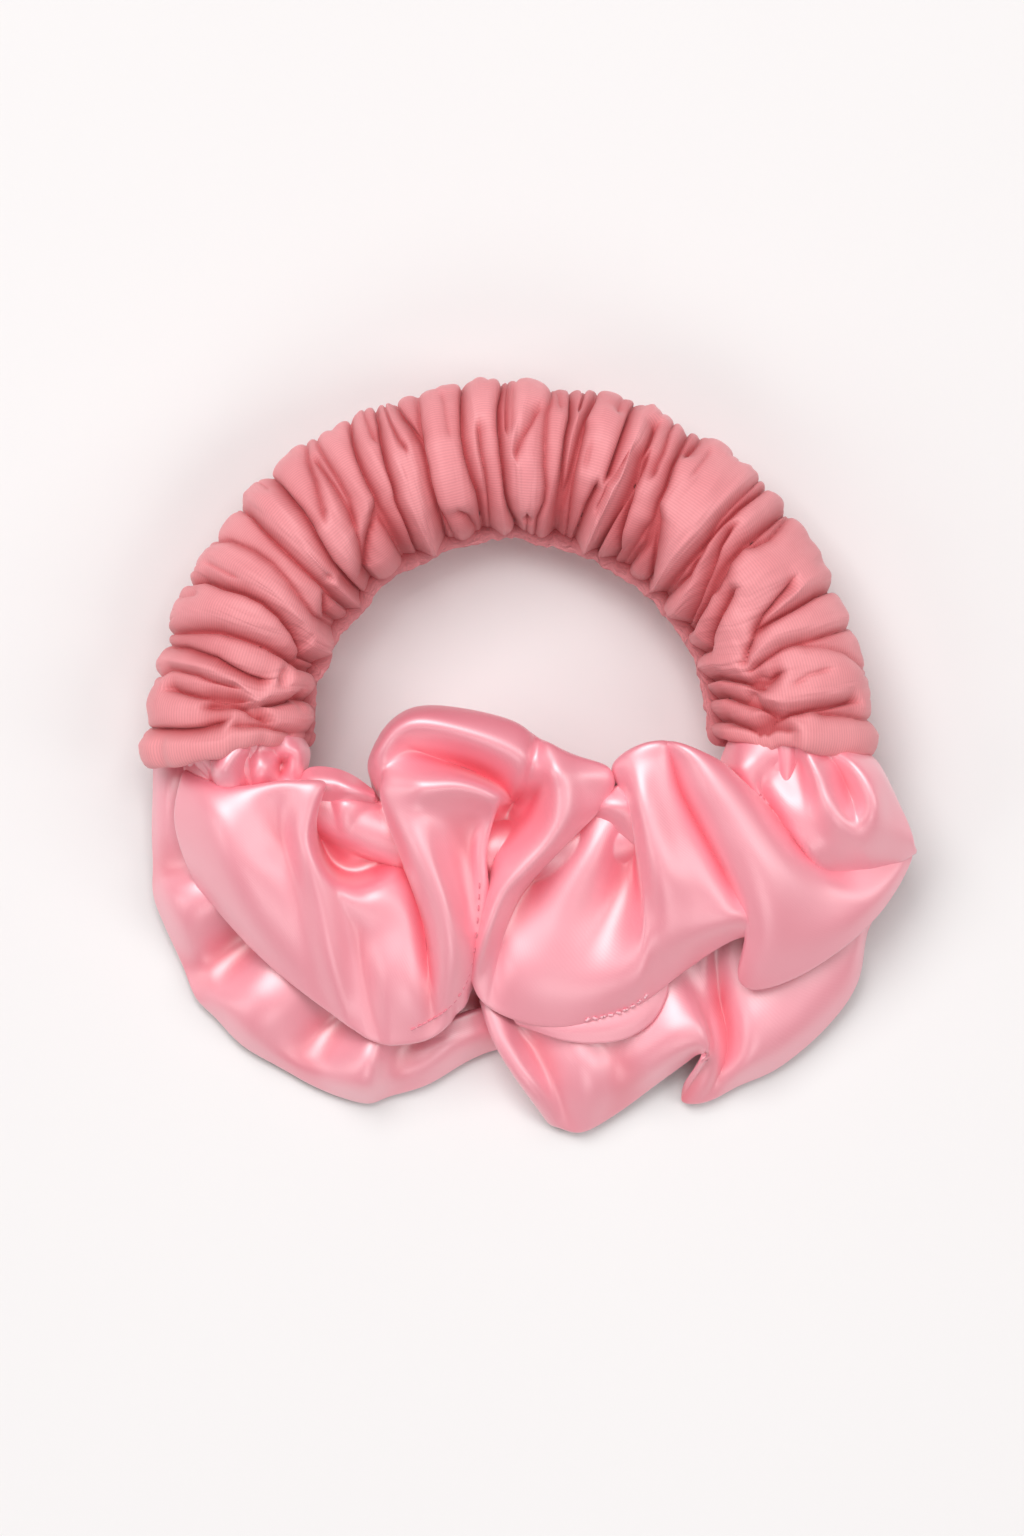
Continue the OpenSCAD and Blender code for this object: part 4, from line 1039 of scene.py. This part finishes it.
def closed_tube(name, grid, woven=True):
    """A tube through a grid of rings, closed at both ends by a point in their middles."""
    rows, around = grid.shape[:2]
    points = np.concatenate([grid.reshape(-1, 3), [grid[0].mean(0)], [grid[-1].mean(0)]])
    faces = grid_faces(rows, around, 0, False, True)
    size = rows * around
    first = np.arange(around)
    last = first + size - around
    faces += np.stack([first, np.roll(first, -1), np.full(around, size)], -1).tolist()
    faces += np.stack([last, np.full(around, size + 1), np.roll(last, -1)], -1).tolist()
    if not woven:
        return add_mesh(name, points, faces)
    weave = cloth_lengths(grid).reshape(-1, 2)
    return add_mesh(name, points, faces, np.concatenate([weave, weave[:1], weave[-1:]]))


def make_neck(name, side, seed):
    """The pleated satin that comes out of a sleeve's end and narrows to the casing."""
    rows, around = 44, 160
    start, length = 4.5, 13.5      # y of the end inside the sleeve, and the neck's length
    taper = 4.2                    # how much its radius narrows
    twist, bend = 0.5, 2.4         # radians from end to end, and mm towards the ring's middle
    rng = np.random.default_rng(seed)
    phi = np.arange(around) * 2 * math.pi / around
    along = np.linspace(0, 1, rows)
    y = start - length * along
    reach = NECK_R - taper * along ** 1.5
    pleats = 0.55 * np.abs(np.sin(phi * 8 + rng.uniform(0, 6)))
    pleats = pleats + 0.35 * np.abs(np.sin(phi * 5 + rng.uniform(0, 6)))
    grid = np.zeros((rows, around, 3))
    for k in range(rows):
        radius = reach[k] + (pleats - 0.5) * (0.6 + 1.2 * along[k])
        turned = phi + twist * along[k]
        middle_x = side * (RING_R - bend * along[k] ** 2)
        grid[k] = np.stack([middle_x + radius * np.sin(turned), np.full(around, y[k]),
                            RING_Z + radius * np.cos(turned)], -1)
    return closed_tube(name, grid)


left_neck = make_neck("left_pleats", side=-1, seed=31)
right_neck = make_neck("right_pleats", side=1, seed=32)
for neck, replaced in ((left_neck, "left_neck"), (right_neck, "right_neck")):
    dress(neck, SATIN)
    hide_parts(replaced)


def make_casing():
    """The gathered satin tube round the lower elastic."""
    steps, around = 260, 64
    sweep = math.degrees(math.asin(RING_R / LOWER_R))
    s = np.linspace(-sweep, sweep, steps)
    phi = np.arange(around) * 2 * math.pi / around
    rng = np.random.default_rng(11)
    pleat = smooth_noise(rng, (70, 9), (steps, around), True)
    radius = CASING_R + 0.45 * pleat
    rows = []
    for k, a in enumerate(np.radians(s)):
        out = LOWER_R + radius[k] * np.sin(phi)
        rows.append(np.stack([out * math.sin(a), LOWER_R - DROP - out * math.cos(a),
                              RING_Z + radius[k] * np.cos(phi)], -1))
    return closed_tube("gathered_casing", np.stack(rows))


casing = make_casing()
dress(casing, SATIN)
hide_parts("satin_casing")


# ---------------------------------------------------------------- the padding inside the sleeve
def make_padding():
    """The lumpy wadding roll, rounded at both ends."""
    steps, around = 150, 48
    theta = np.linspace(3, 177, steps)
    tilt = np.arange(around) * 360 / around - 90
    rng = np.random.default_rng(3)
    lumps = smooth_noise(rng, (40, 8), (steps, around), True)
    ends = np.minimum(np.arange(steps), np.arange(steps)[::-1]) / 10.0
    taper = np.sqrt(np.clip(1 - (1 - np.clip(ends, 0, 1)) ** 2, 0.02, 1))[:, None]
    radius = (PADDING_R - 0.35 + 0.3 * lumps) * taper
    t, p = np.radians(theta)[:, None], np.radians(tilt)[None]
    out = RING_R + radius * np.sin(p)
    grid = np.stack([out * np.cos(t), out * np.sin(t), RING_Z + radius * np.cos(p)], -1)
    return closed_tube("wadding_roll", grid, woven=False)


padding = make_padding()
dress(padding, WADDING)
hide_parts("padding_roll")


# ---------------------------------------------------------------- threads
def tubes(name, paths, radius):
    """Round threads along paths of points in mm, with rounded ends, as one mesh."""
    around = 8
    points, faces = [], []
    for path in paths:
        path = np.asarray(path, float)
        tangent = np.gradient(path, axis=0)
        tangent /= np.maximum(np.linalg.norm(tangent, axis=1, keepdims=True), 1e-9)
        side = np.cross(tangent, (0.12, 0.31, 0.94))
        side /= np.maximum(np.linalg.norm(side, axis=1, keepdims=True), 1e-9)
        up = np.cross(side, tangent)
        width = np.full(len(path), radius)
        width[[0, -1]] *= 0.45
        phi = np.arange(around) * 2 * math.pi / around
        ring = (np.cos(phi)[None, :, None] * side[:, None] + np.sin(phi)[None, :, None] * up[:, None])
        start = len(points)
        body = path[:, None] + ring * width[:, None, None]
        points += body.reshape(-1, 3).tolist() + [path[0].tolist(), path[-1].tolist()]
        faces += grid_faces(len(path), around, start, False, True)
        size = len(path) * around
        for j in range(around):
            k = (j + 1) % around
            faces.append([start + j, start + k, start + size])
            faces.append([start + size - around + k, start + size - around + j, start + size + 1])
    return add_mesh(name, points, faces)


def surface_z(grid, x, y):
    """Height of a sheet's top above the point (x, y)."""
    gap = (grid[..., 0] - x) ** 2 + (grid[..., 1] - y) ** 2
    near = gap < max(gap.min() * 4, 0.09)
    return grid[..., 2][near].max()


def stitches(name, grid, line, count, length, radius, thickness, unrest=0.0):
    """Hand-length stitches that dip into a sheet along a line seen from above."""
    rng = np.random.default_rng(17)
    path = resample(catmull([(x, y, 0) for x, y in line], 20), 400)
    made = []
    for at in np.linspace(6, 393, count):
        here = path[int(at)]
        way = path[min(int(at) + 4, 399)] - path[int(at) - 4]
        way /= np.linalg.norm(way)
        turn = rng.uniform(-unrest, unrest)
        way = np.array([way[0] * math.cos(turn) - way[1] * math.sin(turn),
                        way[0] * math.sin(turn) + way[1] * math.cos(turn), 0])
        spots = []
        for s in np.linspace(-0.5, 0.5, 7):
            spot = here + way * s * length
            rise = thickness / 2 + radius * (1.1 - 9.0 * max(0, abs(s) - 0.3))
            spots.append((spot[0], spot[1], surface_z(grid, spot[0], spot[1]) + rise))
        made.append(spots)
    return tubes(name, made, radius)


def running_thread(side, height):
    """A gathering thread that runs along the casing, a little in and out of the cloth."""
    x = np.linspace(-40, 40, 240)
    y = np.array([lower_run(v) for v in x]) + side * CASING_R
    return np.stack([x, y + 0.25 * np.sin(x * 2.1), height + 0.3 * np.cos(x * 2.1)], -1)


def end_ring(x, radius):
    """Small stitches round a sleeve end, where the jersey meets the satin."""
    made = []
    for k in range(26):
        spots = []
        for s in np.linspace(-0.5, 0.5, 5):
            a = (k + s * 0.6) * 2 * math.pi / 26
            spots.append((x + radius * math.sin(a), 0.4 - 0.5 * s, RING_Z + radius * math.cos(a)))
        made.append(spots)
    return made


def sleeve_seam(radius):
    """Running stitches that close the jersey tube, along the inside of the ring."""
    inward = -SEAM_LINE * (1, 1, 0) / np.linalg.norm(SEAM_LINE[:, :2], axis=1)[:, None]
    made = []
    for k in range(14, COLUMNS - 20, 13):
        spots = SEAM_LINE[k:k + 9]
        lift = radius * (1.2 - 2.4 * np.abs(np.linspace(-1, 1, 9)) ** 3)
        made.append(spots + inward[k:k + 9] * lift[:, None])
    return tubes("sleeve_seam", made, radius)


seam = sleeve_seam(radius=0.16)
dress(seam, JERSEY_THREAD)
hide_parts("sleeve_seam_thread")

lobe_seam = stitches("lobe_hem_seam", FRONT_GRID, LOBE_SEAM, count=20, length=0.95, radius=0.13,
                     thickness=SATIN_T)
dress(lobe_seam, DEEP_THREAD)
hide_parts("front_edge_stitches")
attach(lobe_seam, "ruffle")

flap_stitches = stitches("hem_stitches", FRONT_GRID, FLAP_SEAM, count=9, length=0.85, radius=0.22,
                         thickness=SATIN_T, unrest=0.7)
dress(flap_stitches, SATIN_THREAD)
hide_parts("closing_hem_stitches")
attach(flap_stitches, "ruffle")

front_thread = tubes("front_gathering_thread", [running_thread(side=1, height=14.5)], THREAD_R)
dress(front_thread, SATIN_THREAD)
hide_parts("front_gather_thread")
back_thread = tubes("back_gathering_thread", [running_thread(side=-1, height=11.0)], THREAD_R)
dress(back_thread, SATIN_THREAD)
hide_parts("back_gather_thread")
for thread in (front_thread, back_thread):
    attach(thread, "ruffle")

for name, x, replaced in (("left_join_stitches", -RING_R, "left_join_thread"),
                          ("right_join_stitches", RING_R, "right_join_thread")):
    ring = tubes(name, end_ring(x, NECK_R), THREAD_R)
    dress(ring, JERSEY_THREAD)
    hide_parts(replaced)
    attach(ring, "joins")


# ---------------------------------------------------------------- CAD nodes that stay
for name, material in (("elastic_arch", ELASTIC), ("elastic_bar_tacks", SATIN_THREAD),
                       ("elastic_left", ELASTIC), ("elastic_right", ELASTIC), ("elastic_lower", ELASTIC)):
    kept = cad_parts[name]
    if kept.material_slots:
        for place in kept.material_slots:
            place.material = material
    else:
        kept.data.materials.append(material)


# ---------------------------------------------------------------- floor, light and camera
def make_floor():
    """A plain pale floor."""
    mesh = bpy.data.meshes.new("floor")
    half = 1.6
    corners = [(-half, -half, 0), (half, -half, 0), (half, half, 0), (-half, half, 0)]
    mesh.from_pydata(corners, [], [(0, 1, 2, 3)])
    floor = bpy.data.objects.new("floor", mesh)
    bpy.context.collection.objects.link(floor)
    low, high = (0.83, 0.815, 0.815), (0.85, 0.838, 0.838)
    material, _, _, shader, _ = plain_material("pale_floor", 3.0, low, high, 0.9)
    shader.inputs["Specular IOR Level"].default_value = 0.1
    mesh.materials.append(material)


def add_light(name, place, size, power, colour, target=(0, 0, 0.01)):
    """A rectangular panel that shines at the scrunchie."""
    data = bpy.data.lights.new(name, "AREA")
    data.shape = "RECTANGLE"
    data.size, data.size_y = size
    data.energy = power
    data.color = colour
    lamp = bpy.data.objects.new(name, data)
    lamp.location = place
    lamp.rotation_euler = (Vector(target) - Vector(place)).to_track_quat("-Z", "Y").to_euler()
    bpy.context.collection.objects.link(lamp)


make_floor()
add_light("window", (-0.62, 1.05, 1.9), (1.3, 1.5), 33.0, (1.0, 0.982, 0.98))
add_light("overhead", (0.35, 0.55, 2.3), (0.8, 0.8), 9.0, (1.0, 0.99, 0.985))
add_light("right_panel", (1.5, -0.2, 1.5), (0.7, 1.2), 9.0, (1.0, 0.985, 0.98))
add_light("front_panel", (0.15, -1.5, 1.4), (1.0, 0.7), 5.0, (1.0, 0.985, 0.98))
add_light("left_panel", (-1.7, -0.5, 1.2), (0.7, 1.2), 6.0, (1.0, 0.985, 0.98))

world = bpy.data.worlds.new("studio")
world.use_nodes = True
world.node_tree.nodes["Background"].inputs["Color"].default_value = (1.0, 0.985, 0.98, 1)
world.node_tree.nodes["Background"].inputs["Strength"].default_value = 0.23
bpy.context.scene.world = world
bpy.context.scene.view_settings.view_transform = "Standard"

FIELD_HEIGHT = 0.2534      # what the camera takes in, top to bottom
CAMERA_HEIGHT = 1.50
CENTRE = (0.0002, -0.0046)
lens = bpy.data.cameras.new("camera")
lens.sensor_width = 36.0
lens.lens = 36.0 * CAMERA_HEIGHT / FIELD_HEIGHT
lens.clip_start = 0.01
camera = bpy.data.objects.new("camera", lens)
camera.location = (CENTRE[0], CENTRE[1], CAMERA_HEIGHT)
bpy.context.collection.objects.link(camera)
bpy.context.scene.camera = camera

# ---------------------------------------------------------------- pieces that stay put, their placing baked into their meshes
for piece in (sleeve, seam, padding):
    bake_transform(piece)
for piece in (casing, left_neck, right_neck, knot, right_end):
    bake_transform(piece)
